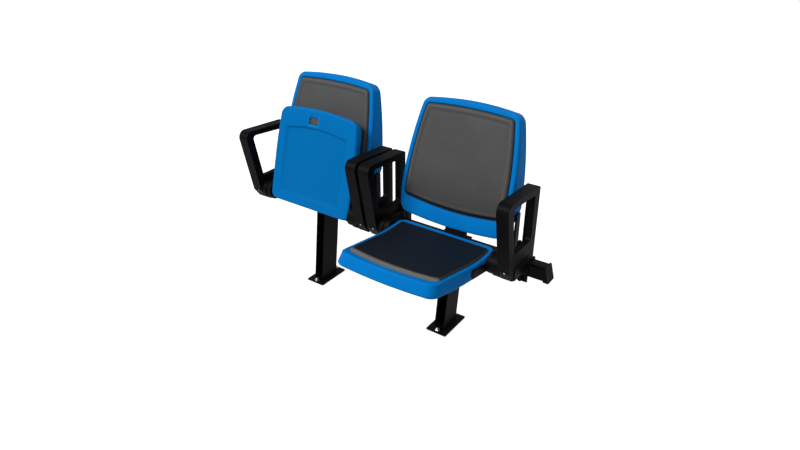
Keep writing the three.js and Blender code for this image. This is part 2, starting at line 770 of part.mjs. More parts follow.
// A cushion: a crown, a rolled edge and sides that draw in to its foot
function cushionGeometry(plan, place, { crown, edgeRise, sink }) {
  const dome = place((across, along) =>
    edgeRise + (crown - edgeRise) * (1 - across ** 2) * (1 - along ** 2));
  const level = (height) => place(() => height);
  return skin([
    ...innerRings(plan, dome),
    panelRing(plan, sink / 2, dome),
    panelRing(plan, sink / 4, level(edgeRise * padRollShare)),
    ...padSideShares.map(([inShare, downShare]) =>
      panelRing(plan, sink * inShare, level(-sink * downShare))),
    ...innerRings(plan, level(-sink)).reverse(),
  ]);
}

function seatPadGeometry() {
  const place = (height) => panPlace((forward, across, along) => panTop(forward) + height(across, along));
  return cushionGeometry(seatPadPlan, place,
    { crown: seatPadCrown, edgeRise: seatPadEdgeRise, sink: panRecess - fitGap });
}

// Back shell and its cushion
const backY = pivotY + backBehindPivot;
const backZ = pivotZ + backAbovePivot;

function backSide(up) {
  const widest = armInner - backSideGap;
  const draw = up > backWideAt
    ? backTopDraw * ((up - backWideAt) / (backHigh - backWideAt)) ** 2
    : backLowDraw * ((backWideAt - up) / (backWideAt - backLow)) ** 2;
  return widest - draw;
}

const backPlan = {
  low: backLow, high: backHigh, lowBow: backLowBow, highBow: backHighBow, corner: backCorner, side: backSide,
};
const backPadPlan = {
  low: backPadLow, high: backPadHigh, lowBow: backPadLowBow, highBow: backPadHighBow, corner: backPadCorner,
  side: (up) => backSide(up) - backPadInset,
};

// A point that lies up the recline, and out to the front of the shell's face
function onBack(x, up, out) {
  return new THREE.Vector3(x,
    backY + up * Math.sin(backRecline) - out * Math.cos(backRecline),
    backZ + up * Math.cos(backRecline) + out * Math.sin(backRecline));
}

function backPlace(height) {
  return (x, up, across, along) => {
    const dish = backDish * (1 - (x / backSide(backWideAt)) ** 2);
    return onBack(x, up, height(up, across, along) - dish);
  };
}

function flangeDepth(up, along) {
  const depth = up > flangeKneeHeight
    ? THREE.MathUtils.mapLinear(up, flangeKneeHeight, backHigh, flangeKneeDepth, flangeTop)
    : THREE.MathUtils.mapLinear(up, backLow, flangeKneeHeight, flangeFoot, flangeKneeDepth);
  const cornerShare = backCorner / (backHigh - backLow);
  const share = THREE.MathUtils.smoothstep(along, -1, -1 + 2 * cornerShare);
  return THREE.MathUtils.lerp(flangeLip, depth, share);
}

function backShellGeometry() {
  const level = (drop) => backPlace(() => -drop);
  const flange = backPlace((up, across, along) => -flangeDepth(up, along));
  const inside = backRecess + backWall;
  return skin([
    ...innerRings(backPadPlan, level(backRecess)),
    ...recessRings(backPadPlan, backRecess, level),
    ...edgeRings(backPlan, backEdge, level),
    panelRing(backPlan, 0, flange),
    panelRing(backPlan, backWall, flange),
    panelRing(backPlan, backWall, level(inside + lipEdge)),
    panelRing(backPlan, backWall + lipEdge, level(inside)),
    ...innerRings(backPadPlan, level(inside)).reverse(),
  ]);
}

function backPadGeometry() {
  const place = (height) => backPlace((up, across, along) => height(across, along));
  return cushionGeometry(backPadPlan, place,
    { crown: backPadCrown, edgeRise: backPadEdgeRise, sink: backRecess - fitGap });
}

// Steel that carries the back shell
function uprightGeometry() {
  const inner = armInner - backSideGap + uprightClear;
  const top = beamTop + uprightRise;
  const front = beamFront + uprightFrontInset;
  const rear = beamRear - uprightRearInset;
  const foot = beamTop + fitGap;
  const plate = plateAcross([
    [front, foot], [rear, foot], [rear, top, uprightCorner], [front, top, uprightCorner],
  ], inner, inner + uprightThick);
  const bossY = (front + rear) / 2;
  const bossZ = top - uprightBossDrop;
  const up = (bossY - backY) * Math.sin(backRecline) + (bossZ - backZ) * Math.cos(backRecline);
  const side = Math.max(backSide(up - uprightBossRadius), backSide(up + uprightBossRadius));
  const boss = rodAcross(uprightBossRadius, side + fitGap, inner + uprightThick / 2, bossY, bossZ);
  return join(plate, boss);
}

function strapGeometry() {
  const behind = backRecess + backWall + backDish + fitGap;
  const face = (up, out) => onBack(0, up, -behind - out);
  const foot = beamTop + fitGap;
  const knee = beamTop + strapKnee;
  const points = [
    new THREE.Vector3(0, beamRear, foot), new THREE.Vector3(0, beamFront, foot),
    new THREE.Vector3(0, beamFront, knee), face(strapTouch, 0), face(strapTop, 0),
    face(strapTop, strapThick), face(strapTouch, strapThick),
    new THREE.Vector3(0, beamFront + strapThick, knee),
    new THREE.Vector3(0, beamFront + strapThick, foot + strapThick),
    new THREE.Vector3(0, beamRear, foot + strapThick),
  ];
  return plateAcross(points.map(({ y, z }) => [y, z]), -strapWidth / 2, strapWidth / 2);
}

// The whole row
function mirrored(geometry) {
  const flipped = geometry.clone().scale(-1, 1, 1);
  if (!flipped.index) flipped.setIndex([...Array(flipped.attributes.position.count).keys()]);
  const index = flipped.index;
  for (let i = 0; i < index.count; i += 3) {
    const first = index.getX(i);
    index.setX(i, index.getX(i + 1));
    index.setX(i + 1, first);
  }
  flipped.computeVertexNormals();
  return flipped;
}

function addMesh(parent, name, geometry, material, x = 0) {
  const mesh = new THREE.Mesh(geometry, material);
  mesh.name = name;
  mesh.position.x = x;
  parent.add(mesh);
  return mesh;
}

function addSupport(row) {
  addMesh(row, 'beam', beamGeometry(), blackPaint);
  addMesh(row, 'beam_cap_left', mirrored(capGeometry()), blackPlastic);
  addMesh(row, 'beam_cap_right', capGeometry(), blackPlastic);
  for (const [name, share] of Object.entries({ left: postLeftShare, right: postRightShare })) {
    const x = seatPitch * share;
    addMesh(row, `post_${name}`, postGeometry(), blackPaint, x);
    addMesh(row, `base_plate_${name}`, basePlateGeometry(), blackPaint, x);
    addMesh(row, `post_saddle_${name}`, saddleGeometry(), blackPaint, x);
    for (const [end, y] of Object.entries({ front: -anchorReach, rear: anchorReach })) {
      const bolt = addMesh(row, `anchor_bolt_${name}_${end}`, anchorGeometry(), zincSteel, x);
      bolt.position.y = y;
    }
  }
}

function addClamps(row) {
  const middle = seatPitch / 2;
  const inner = middle + cheekInner;
  const outer = middle + bracketOuter;
  const between = middle - cheekInner;
  const bolt = middle + clampBoltX;
  const left = mirrored(clampPlateGeometry(inner, outer, [bolt]));
  addMesh(row, 'clamp_plate_left', left, blackPaint);
  addMesh(row, 'clamp_plate_middle', clampPlateGeometry(-between, between,
    [clampBoltX - middle, middle - clampBoltX]), blackPaint);
  addMesh(row, 'clamp_plate_right', clampPlateGeometry(inner, outer, [bolt]), blackPaint);
}

// What stands at one side of a seat, fixed to the beam
function addSide(row, number, middle, side) {
  const turn = (geometry) => (side > 0 ? geometry : mirrored(geometry));
  const offset = middle + side * clampBoltX;
  addMesh(row, `side_bracket_${number}`, turn(sideBracketGeometry()), blackPaint, middle);
  addMesh(row, `clamp_bolt_${number}`, clampBoltGeometry(), blackPaint, offset);
  addMesh(row, `armrest_${number}`, armrestGeometry(), blackPlastic, offset - clampBoltX);
  addMesh(row, `armrest_screw_${number}`, armScrewGeometry(), zincSteel, offset);
  addMesh(row, `hinge_cover_${number}`, turn(hingeCoverGeometry()), blackPlastic, middle);
  const bolt = addMesh(row, `pivot_bolt_${number}`, turn(pivotBoltGeometry()), zincSteel, middle);
  bolt.position.set(middle, pivotY, pivotZ);
  addMesh(row, `back_upright_${number}`, turn(uprightGeometry()), blackPaint, middle);
}

// The tipping seat, turned about its pivot
function addSeat(row, name, middle, turned, wings) {
  const seat = new THREE.Group();
  seat.position.set(middle, pivotY, pivotZ);
  seat.rotation.x = -turned;
  row.add(seat);
  addMesh(seat, `seat_pan_${name}`, seatPanGeometry(), shellPlastic);
  addMesh(seat, `seat_cushion_${name}`, seatPadGeometry(), padLeather);
  addMesh(seat, `tag_plate_${name}`, tagBlock(0, tagThick), blackPlastic);
  addMesh(seat, `wing_arm_${wings[0]}`, mirrored(wingGeometry()), blackPaint);
  addMesh(seat, `wing_arm_${wings[1]}`, wingGeometry(), blackPaint);
}

function addBack(row, name, middle) {
  addMesh(row, `back_shell_${name}`, backShellGeometry(), shellPlastic, middle);
  addMesh(row, `back_cushion_${name}`, backPadGeometry(), padLeather, middle);
  addMesh(row, `back_strap_${name}`, strapGeometry(), blackPaint, middle);
}

function makeRow() {
  const row = new THREE.Group();
  addSupport(row);
  addClamps(row);
  const seats = [
    { name: 'left', middle: -seatPitch / 2, turned: seatSlope + tipAngle },
    { name: 'right', middle: seatPitch / 2, turned: seatSlope },
  ];
  seats.forEach(({ name, middle, turned }, i) => {
    const numbers = [2 * i + 1, 2 * i + 2];
    addSide(row, numbers[0], middle, -1);
    addSide(row, numbers[1], middle, 1);
    addSeat(row, name, middle, turned, numbers);
    addBack(row, name, middle);
  });
  return row;
}

// Stood with the middle of its bounding box over zero
const row = makeRow();
row.updateMatrixWorld(true);
const middle = new THREE.Box3().setFromObject(row, true).getCenter(new THREE.Vector3());
row.position.set(-middle.x, -middle.y, 0);

export default row;
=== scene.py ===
"""Stadium seat: a beam-mounted pair of tip-up seats, dressed for the picture.

Metres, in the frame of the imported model: X along the row, the sitters face -Y, Z up.
"""

import json
import math
from functools import partial
from typing import Callable, NamedTuple

import bmesh
import bpy
import numpy as np
from bpy.props import FloatProperty, FloatVectorProperty, IntProperty, PointerProperty
from bpy.types import Operator, Panel, PropertyGroup
from mathutils import Matrix, Vector


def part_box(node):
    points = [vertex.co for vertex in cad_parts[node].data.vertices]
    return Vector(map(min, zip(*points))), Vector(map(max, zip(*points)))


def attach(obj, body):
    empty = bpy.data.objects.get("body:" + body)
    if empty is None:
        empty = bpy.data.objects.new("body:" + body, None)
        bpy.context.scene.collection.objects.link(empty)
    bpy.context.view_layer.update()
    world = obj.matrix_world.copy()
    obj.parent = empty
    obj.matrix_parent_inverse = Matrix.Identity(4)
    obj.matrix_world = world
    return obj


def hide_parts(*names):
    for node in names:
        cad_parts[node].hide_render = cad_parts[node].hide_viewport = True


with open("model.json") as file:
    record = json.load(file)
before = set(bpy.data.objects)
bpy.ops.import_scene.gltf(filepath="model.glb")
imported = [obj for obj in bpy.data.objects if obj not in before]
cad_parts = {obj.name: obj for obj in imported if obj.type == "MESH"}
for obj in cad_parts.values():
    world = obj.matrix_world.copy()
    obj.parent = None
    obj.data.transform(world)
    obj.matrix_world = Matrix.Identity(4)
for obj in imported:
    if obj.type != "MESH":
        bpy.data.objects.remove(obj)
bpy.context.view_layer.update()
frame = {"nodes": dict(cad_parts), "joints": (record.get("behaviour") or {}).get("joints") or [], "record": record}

bl_info = {
    "name": "Stadium Seat",
    "version": (1, 0, 0),
    "blender": (4, 5, 0),
    "location": "3D View > Sidebar > Stadium Seat",
    "description": "Dresses a beam-mounted pair of tip-up seats",
    "category": "Add Mesh",
}

MM = 0.001
SIDES = ("left", "right")
# Armrests, hinge covers and wing arms are numbered from the left.
NUMBERS = range(1, 5)
PIVOTS = {joint["child"]: Vector(joint["pos_m"]) for joint in frame["joints"]}
# A seat slopes by 10 degrees when it is down, and tips up by 95 more.
TURN_DOWN, TURN_UP = math.radians(10), math.radians(105)
BEAM_LOW, BEAM_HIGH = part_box("beam")


def quantity(name, description, default, **kind):
    """A number for a property group."""
    return FloatProperty(name=name, description=description, default=default, **kind)


length = partial(quantity, unit="LENGTH", subtype="DISTANCE")
camera_length = partial(quantity, unit="CAMERA", subtype="DISTANCE_CAMERA")
power = partial(quantity, unit="POWER", subtype="POWER")
factor = partial(quantity, subtype="FACTOR", min=0, max=1)


def angle(name, description, degrees):
    """An angle for a property group."""
    return quantity(name, description, math.radians(degrees), unit="ROTATION", subtype="ANGLE")


def metres(name, description, *values):
    """A place, or the sides of a lamp, for a property group."""
    return FloatVectorProperty(name=name, description=description, default=values, size=len(values),
                               unit="LENGTH")


def linear(code):
    """An sRGB hex colour as linear RGBA."""
    values = [int(code[i:i + 2], 16) / 255 for i in (1, 3, 5)]
    return tuple(v / 12.92 if v <= 0.04045 else ((v + 0.055) / 1.055) ** 2.4 for v in values) + (1.0,)


def colour(name, description, code):
    """A colour for a property group."""
    return FloatVectorProperty(name=name, description=description, default=linear(code), size=4,
                               subtype="COLOR", min=0, max=1)


# Settings

class SeatPanSettings(PropertyGroup):
    rear: length("Rear", "Rear edge of the underside, from the pan's own zero", -0.009)
    front: length("Front", "Front edge of the underside", 0.359)
    pivot_forward: length("Pivot forward", "The pivot, ahead of the pan's own zero", 0.016)
    pivot_rise: length("Pivot rise", "The pivot, above the underside", 0.031)
    half_width: length("Half width", "Half the width of the underside", 0.1897)
    thickness: length("Thickness", "Height of the front part", 0.0425)
    rear_rise: length("Rear rise", "Extra height at the rear edge", 0.023)
    rise_end: length("Rise end", "Where the extra height ends", 0.137)
    front_bow: length("Front bow", "How far the front edge bows out", 0.015)
    front_draw: length("Front draw", "How far the sides draw in at the front", 0.013)
    rim_draw: length("Rim draw", "How far the rim stands inside the underside", 0.004)
    rim_rear: length("Rim rear", "The rim's rear edge, behind the underside's", 0.009)
    rim_front: length("Rim front", "The rim's front edge, behind the underside's", 0.010)
    corner: length("Corner", "Corner radius in plan", 0.028)
    edge: length("Rim edge", "Rounding of the rim", 0.007)
    under_edge: length("Lower edge", "Rounding of the underside", 0.009)
    recess: length("Recess", "Depth of the cushion's recess", 0.014)
    field_rear: length("Field rear", "Rear end of the sunken field", 0.020)
    field_front: length("Field front", "Front end of the sunken field", 0.293)
    field_bow: length("Field bow", "How far the field's front bows out", 0.016)
    field_half: length("Field half width", "Half the width of the sunken field", 0.153)
    field_corner: length("Field corner", "Corner radius of the sunken field", 0.007)
    field_depth: length("Field depth", "Depth of the sunken field at its front", 0.0075)
    front_slope: length("Front slope", "Width of the step at the field's front", 0.009)
    side_slope: length("Side slope", "Width of the slopes at the field's other sides", 0.018)
    tag_sink: length("Tag sink", "How far the tag plate is set in", 0.0065)


class BackSettings(PropertyGroup):
    behind: length("Behind pivot", "Foot of the cushion, behind the pivot", 0.059)
    above: length("Above pivot", "Foot of the cushion, above the pivot", 0.119)
    recline: angle("Recline", "Lean of the back", 16.8)
    low: length("Lower edge", "Lower edge, up the recline", -0.078)
    high: length("Upper edge", "Upper edge, up the recline", 0.343)
    bow: length("Bow", "How far both edges bow out", 0.014)
    half_width: length("Half width", "Half of its widest width", 0.206)
    wide_at: length("Widest at", "Height of its widest place", 0.040)
    top_draw: length("Top draw", "How far the sides draw in at the top", 0.036)
    low_draw: length("Low draw", "How far the sides draw in at the foot", 0.020)
    corner: length("Corner", "Corner radius", 0.024)
    edge: length("Edge", "Rounding of the front edge", 0.009)
    dish: length("Dish", "How far its middle is set back", 0.007)
    wall: length("Wall", "Wall thickness", 0.0045)
    recess: length("Recess", "Depth of the cushion's recess", 0.008)
    flange_top: length("Flange at the top", "Depth of the side flange at the top", 0.040)
    flange_knee: length("Flange at its knee", "Depth of the side flange where it is deepest", 0.090)
    flange_knee_at: length("Knee height", "Where the flange is deepest", 0.035)
    flange_foot: length("Flange at the foot", "Depth of the side flange at its lower end", 0.035)
    flange_lip: length("Lip", "Depth of the flange along the lower edge", 0.016)


class CushionSettings(PropertyGroup):
    gap: length("Gap", "Room round a cushion in its recess", 0.001)
    lip: length("Lip", "Softened lip of a recess", 0.002)
    seat_rear: length("Seat rear", "Rear edge of the seat cushion", -0.001)
    seat_front: length("Seat front", "Front edge of the seat cushion", 0.327)
    seat_bow: length("Seat bow", "How far its front edge bows out", 0.020)
    seat_inset: length("Seat inset", "From the rim's side to the seat cushion", 0.015)
    seat_crown: length("Seat crown", "Height of the seat cushion's middle over the rim", 0.0042)
    seat_roll: length("Seat front roll", "Width of the roll along the seat cushion's front", 0.027)
    seat_fall: length("Seat front fall", "Fall of the seat cushion's front roll", 0.0068)
    seat_corner: length("Seat corner", "Corner radius of the seat cushion", 0.014)
    back_low: length("Back low", "Lower edge of the back cushion", -0.023)
    # The foot's near-black strip is a painted shadow for the gap under the cushion.
    back_seam: length("Back seam", "Height of the black board at the back cushion's foot", 0.0135)
    back_tuck: length("Back tuck", "How far that board lies under the shell's face", 0.004)
    back_high: length("Back high", "Upper edge of the back cushion", 0.320)
    back_low_bow: length("Back low bow", "How far its lower edge bows out", 0.017)
    back_high_bow: length("Back high bow", "How far its upper edge bows out", 0.008)
    back_inset: length("Back inset", "From the shell's side to the back cushion", 0.0185)
    back_rise: length("Back rise", "Height of the back cushion's edge over the shell", 0.003)
    back_crown: length("Back crown", "Further rise of the back cushion's middle", 0.0026)
    corner: length("Back corner", "Corner radius of the back cushion", 0.011)


class ArmrestSettings(PropertyGroup):
    top_rise: length("Top rise", "Front top corner above the beam", 0.277)
    top_fall: length("Top fall", "Fall of the top towards the rear", 0.0125)
    front_reach: length("Front reach", "Front top corner ahead of the beam", 0.189)
    sole_rise: length("Sole rise", "The sole above the beam", 0.033)
    rear_leg: length("Rear leg", "Depth of the rear leg", 0.033)
    toe_reach: length("Toe reach", "Rear face of the toe ahead of the beam", 0.106)
    toe: length("Toe", "Depth of the toe", 0.034)
    toe_foot: length("Toe foot", "Depth of the toe's lowest end", 0.009)
    top_bar: length("Top bar", "Depth of the top bar", 0.021)
    front_bar: length("Front bar", "Depth of the front leg", 0.033)
    bottom_bar: length("Bottom bar", "Height of the bar over the sole", 0.053)
    front_corner: length("Front corner", "Radius of the front top corner", 0.026)
    rear_corner: length("Rear corner", "Radius of the rear top corner", 0.009)
    loop_corner: length("Loop corner", "Radius of the loop's corners", 0.012)
    shell: length("Shell", "Wall round the open side", 0.0055)
    web: length("Web", "Thickness beside the open side", 0.018)
    edge: length("Edge", "Rounding of all edges", 0.0032)
    screw_drop: length("Screw drop", "The screw below the sole", 0.007)


class HingeSettings(PropertyGroup):
    head_radius: length("Cover radius", "Radius of the hinge covers", 0.040)
    hub_radius: length("Hub radius", "Radius of the wing arms' hubs", 0.037)
    tail: length("Tail", "Reach of the cover's tail behind the pivot", 0.080)
    tail_half: length("Tail half width", "Half the height of the tail's end", 0.013)
    pivot_radius: length("Pivot radius", "Radius of the pivot bolt", 0.008)
    pivot_head: length("Pivot head", "Radius of the pivot bolt's head", 0.010)
    head_depth: length("Head depth", "Depth of the counterbore for that head", 0.0066)
    lug_radius: length("Lug radius", "Radius of the stop lug", 0.004)
    lug: length("Lug", "Length of the stop lug", 0.007)
    lug_reach: length("Lug reach", "From the pivot to the stop lug", 0.025)
    lug_angle: angle("Lug angle", "Where the stop lug stands round the pivot", -60)
    wing: length("Wing", "Thickness of a wing arm", 0.013)
    wing_reach: length("Wing reach", "Reach of a wing arm ahead of the pivot", 0.125)
    wing_low: length("Wing low", "Its lower edge below the pivot", 0.026)
    wing_high: length("Wing high", "Its upper edge above the pivot", 0.002)
    heel: length("Heel", "Its heel behind the pivot", 0.025)
    heel_high: length("Heel high", "Its heel above the pivot", 0.016)
    heel_front: length("Heel front", "End of its raised part ahead of the pivot", 0.013)
    wing_corner: length("Wing corner", "Corner radius of a wing arm", 0.009)
    edge: length("Rounding", "Rounding of the round rims", 0.0022)


class HardwareSettings(PropertyGroup):
    fit: length("Fit", "Gap between faces that touch", 0.0003)
    paint_edge: length("Steel edge", "Rounding of cut steel edges under the paint", 0.0007)
    plastic_edge: length("Moulded edge", "Rounding of moulded edges", 0.0016)
    beam_corner: length("Beam corner", "Outer corner radius of the beam", 0.006)
    beam_wall: length("Beam wall", "Wall of the beam", 0.003)
    bolt_radius: length("Clamp bolt radius", "Radius of a clamp bolt", 0.005)
    bolt_head: length("Clamp bolt head", "Radius over the corners of its head and nut", 0.009)
    bolt_height: length("Clamp bolt height", "Height of its head and of its nut", 0.007)
    bolt_tail: length("Clamp bolt tail", "Its end, past the clamp plate", 0.009)
    washer_radius: length("Washer radius", "Radius of a floor washer", 0.010)
    washer: length("Washer", "Thickness of a floor washer", 0.002)
    nut_radius: length("Nut radius", "Radius over the corners of a floor nut", 0.0085)
    nut: length("Nut", "Height of a floor nut", 0.007)
    stud_radius: length("Stud radius", "Radius of a floor anchor", 0.0055)
    stud: length("Stud", "A floor anchor's end above its nut", 0.002)
    screw_head: length("Screw head", "Radius of an armrest screw's head", 0.005)
    screw_dome: length("Screw dome", "Height of an armrest screw's head", 0.003)
    socket: length("Socket", "Radius of the screw's hexagon socket", 0.0018)


class ColourSettings(PropertyGroup):
    shell: colour("Shell", "Moulded blue plastic", "#006EB8")
    shell_deep: colour("Shell, deep", "Darker clouding in the blue plastic", "#006AB2")
    # A painted shade: the darker blue of the pans' undersides, which face away from the lamps.
    shell_under: colour("Shell, underside", "Coarser underside of the seat pans", "#00619D")
    # Worn edges of the blue plastic, with a painted highlight along them.
    shell_worn: colour("Shell, worn", "Scuffed edges of the blue plastic", "#1D82CC")
    nylon: colour("Black plastic", "Moulded black plastic", "#0A0A0B")
    # Worn edges of the black plastic, with a painted highlight along them.
    nylon_worn: colour("Black plastic, worn", "Rubbed edges of the black plastic", "#1F1F1E")
    paint: colour("Black paint", "Powder coat on the steel", "#0C0C0D")
    # Thin paint along steel edges, with a painted highlight along them.
    paint_worn: colour("Black paint, worn", "Thin paint along steel edges", "#1D1D1D")
    back_skin: colour("Back cushion", "Skin of the back cushions", "#444444")
    # Paler with rubbing and a painted highlight on the roll.
    back_roll: colour("Back cushion, roll", "Rubbed roll of the back cushions", "#4A4948")
    # A painted shade: the same skin as the back cushions, made darker and bluer where the seat's top faces away
    # from the lamps.
    seat_skin: colour("Seat cushion", "Skin of the seat cushions", "#0E151D")
    # Paler with rubbing and a painted highlight on the front roll.
    seat_roll: colour("Seat cushion, roll", "Rubbed roll of the seat cushions", "#646461")
    # A near-black painted shadow along the foot of a back cushion, where the gap below it is in shade.
    board: colour("Board", "Black board under the foot of a back cushion", "#0B0B0C")
    zinc: colour("Zinc", "Zinc plate on the fasteners", "#D4D6D8")
    zinc_dull: colour("Zinc, dull", "Duller patches of the zinc plate", "#B4B8B6")
    tag: colour("Tag", "Bare tag plate", "#45423E")
    tag_deep: colour("Tag, deep", "Darker clouding of the tag plate", "#403E3A")
    floor: colour("Floor", "Studio floor", "#B4B4B4")


class StageSettings(PropertyGroup):
    lens: camera_length("Lens", "Focal length in millimetres", 28.78)
    sensor: camera_length("Sensor", "Sensor width in millimetres", 36)
    azimuth: angle("Azimuth", "Camera's turn towards +X", 35.02)
    elevation: angle("Elevation", "Camera's look down", 28.02)
    distance: metres("Camera place", "From the right seat's pivot", 0.94566, -1.58309, 1.05039)
    ambient: factor("Ambient", "Light of the white surround", 0.45)
    gloss_share: factor("Gloss share", "How much of the surround a gloss shows", 0.4)
    floor_radius: length("Floor radius", "Radius of the studio floor", 4.5)
    floor_near: length("Near floor", "Radius up to which the floor is at its greyest", 1.2)
    floor_far: length("Far floor", "Radius from which the floor is as white as its surround", 3.6)
    floor_lift: factor("Floor lift", "Whiteness added where the floor is seen", 0.82)
    aim: metres("Aim", "Where both lamps point", 0, 0.05, 0.5)
    key_place: metres("Key lamp place", "Place of the lamp ahead of the seats", -1.9, -3.9, 4.2)
    key_size: metres("Key lamp size", "Sides of the lamp ahead of the seats", 2.4, 2.4)
    key_power: power("Key lamp power", "Power of the lamp ahead of the seats", 317)
    rear_place: metres("Rear lamp place", "Place of the lamp behind the seats", 1.2, 3.4, 2.6)
    rear_size: metres("Rear lamp size", "Sides of the lamp behind the seats", 2.4, 1.6)
    rear_power: power("Rear lamp power", "Power of the lamp behind the seats", 45)


class SeatSettings(PropertyGroup):
    pan: PointerProperty(type=SeatPanSettings)
    back: PointerProperty(type=BackSettings)
    cushion: PointerProperty(type=CushionSettings)
    arm: PointerProperty(type=ArmrestSettings)
    hinge: PointerProperty(type=HingeSettings)
    hardware: PointerProperty(type=HardwareSettings)
    colours: PointerProperty(type=ColourSettings)
    stage: PointerProperty(type=StageSettings)
    ring_corner: IntProperty(name="Corner steps", description="Steps round a moulded corner", default=10)
    ring_side: IntProperty(name="Side steps", description="Steps along a moulded side", default=26)
    face: IntProperty(name="Face steps", description="Steps from a face's middle to its edge", default=10)
    pad_face: IntProperty(name="Cushion steps", description="Such steps on a cushion", default=22)
    arc: IntProperty(name="Arc steps", description="Steps round a rounded outline corner", default=8)


def settings():
    return bpy.context.scene.stadium_seat


# Materials

def add_node(tree, kind, inputs=None, **values):
    """Adds a node, sets its properties, and sets or links its inputs. A list makes several links."""
    node = tree.nodes.new(kind)
    for name, value in values.items():
        setattr(node, name, value)
    for name, value in (inputs or {}).items():
        for source in value if isinstance(value, list) else [value]:
            if isinstance(source, bpy.types.Node):
                source = source.outputs[0]
            if isinstance(source, bpy.types.NodeSocket):
                tree.links.new(source, node.inputs[name])
            else:
                node.inputs[name].default_value = source
    return node


def new_material(name):
    """An empty material, what adds a node to it, and the place of each point on its piece."""
    material = bpy.data.materials.new(name)
    material.use_nodes = True
    material.node_tree.nodes.clear()
    node = partial(add_node, material.node_tree)
    return material, node, node("ShaderNodeTexCoord").outputs["Object"]


def per(size_mm):
    """The texture scale that gives a feature of this many millimetres."""
    return 1 / (size_mm * MM)


def patches(node, place, size_mm, detail, seen=(0.0, 1.0), onto=(0.0, 1.0)):
    """Soft patches of a size, with the part of their range that is seen spread onto another."""
    noise = node("ShaderNodeTexNoise", {"Vector": place, "Scale": per(size_mm), "Detail": detail})
    return node("ShaderNodeMapRange", {"Value": noise, "From Min": seen[0], "From Max": seen[1],
                                       "To Min": onto[0], "To Max": onto[1]})


def layered(node, base, *layers):
    """A base colour with others laid over it in turn, each by its own amount."""
    for amount, over in layers:
        base = node("ShaderNodeMix", {0: amount, 6: base, 7: over}, data_type="RGBA").outputs[2]
    return base


def edge_wear(node, place, edges):
    """Rubbed edges with a painted highlight along them, broken up by a coarse noise."""
    return node("ShaderNodeMath", {0: edges, 1: patches(node, place, 18, 3, (0.3, 0.62))},
                operation="MULTIPLY")


def finish(material, node, tone, rough, grain, gloss, depth_mm, strength):
    """Ends a material: its colour, its roughness, its grain, its gloss, and the grain's depth."""
    normal = node("ShaderNodeBump", {"Height": grain, "Distance": depth_mm * MM, "Strength": strength})
    surface = {"Base Color": tone, "Roughness": rough, "Normal": normal}
    shader = node("ShaderNodeBsdfPrincipled", {**surface, **gloss})
    node("ShaderNodeOutputMaterial", {"Surface": shader})
    return material


def moulded_polyethylene(name):
    """Blow-moulded blue polyethylene: satin, faintly clouded, with a fine orange-peel skin, scuffed edges with a
    painted highlight, and a painted shade on the pans' undersides.
    """
    colours = settings().colours
    material, node, place = new_material(name)
    # The underside, deepest in its sunken field, takes a painted shade, and nobody rubs along it.
    under = node("ShaderNodeAttribute", attribute_name="under").outputs["Fac"]
    reached = node("ShaderNodeMath", {0: 1.0, 1: under}, operation="SUBTRACT")
    # Pointed edges away from the underside are scuffed and take a painted highlight.
    pointy = node("ShaderNodeNewGeometry").outputs["Pointiness"]
    edges = node("ShaderNodeMapRange", {"Value": pointy, "From Min": 0.53, "From Max": 0.6})
    rubbed = node("ShaderNodeMath", {0: edges, 1: reached}, operation="MULTIPLY")
    tone = layered(node, colours.shell, (patches(node, place, 90, 3, (0.3, 0.7)), colours.shell_deep),
                   (under, colours.shell_under), (edge_wear(node, place, rubbed), colours.shell_worn))
    # Real mould grain is about 0.2 mm, drawn at 0.9 mm so that it shows over the orange peel.
    grain = node("ShaderNodeMath", {0: patches(node, place, 1.6, 3), 1: patches(node, place, 0.9, 1)},
                 operation="ADD")
    return finish(material, node, tone, patches(node, place, 35, 4, onto=(0.36, 0.48)), grain,
                  {"IOR": 1.5, "Specular IOR Level": 0.025}, depth_mm=0.05, strength=0.7)


def moulded_nylon(name):
    """Glass-filled black nylon: satin with a spark-eroded texture, rubbed paler on its edges, which also carry a
    painted highlight.
    """
    colours = settings().colours
    material, node, place = new_material(name)
    # Rounded edges are worn paler and take a painted highlight.
    worn = edge_wear(node, place, node("ShaderNodeAttribute", attribute_name="edge").outputs["Fac"])
    # Spark-eroded texture is about 0.3 mm, drawn at 1.1 mm so that it shows.
    grain = patches(node, place, 1.1, 4)
    return finish(material, node, layered(node, colours.nylon, (worn, colours.nylon_worn)),
                  patches(node, place, 22, 3, onto=(0.42, 0.56)), grain,
                  {"IOR": 1.53, "Specular IOR Level": 0.045}, depth_mm=0.07, strength=0.8)


def powder_coat(name):
    """Black powder coat on steel: satin, with a shallow orange peel and thin edges, paler with wear and a painted
    highlight.
    """
    colours = settings().colours
    material, node, place = new_material(name)
    # Rounded edges are worn paler and take a painted highlight.
    worn = edge_wear(node, place, node("ShaderNodeAttribute", attribute_name="edge").outputs["Fac"])
    return finish(material, node, layered(node, colours.paint, (worn, colours.paint_worn)),
                  patches(node, place, 30, 3, onto=(0.34, 0.46)), patches(node, place, 2.2, 2),
                  {"IOR": 1.52, "Specular IOR Level": 0.045}, depth_mm=0.08, strength=0.6)


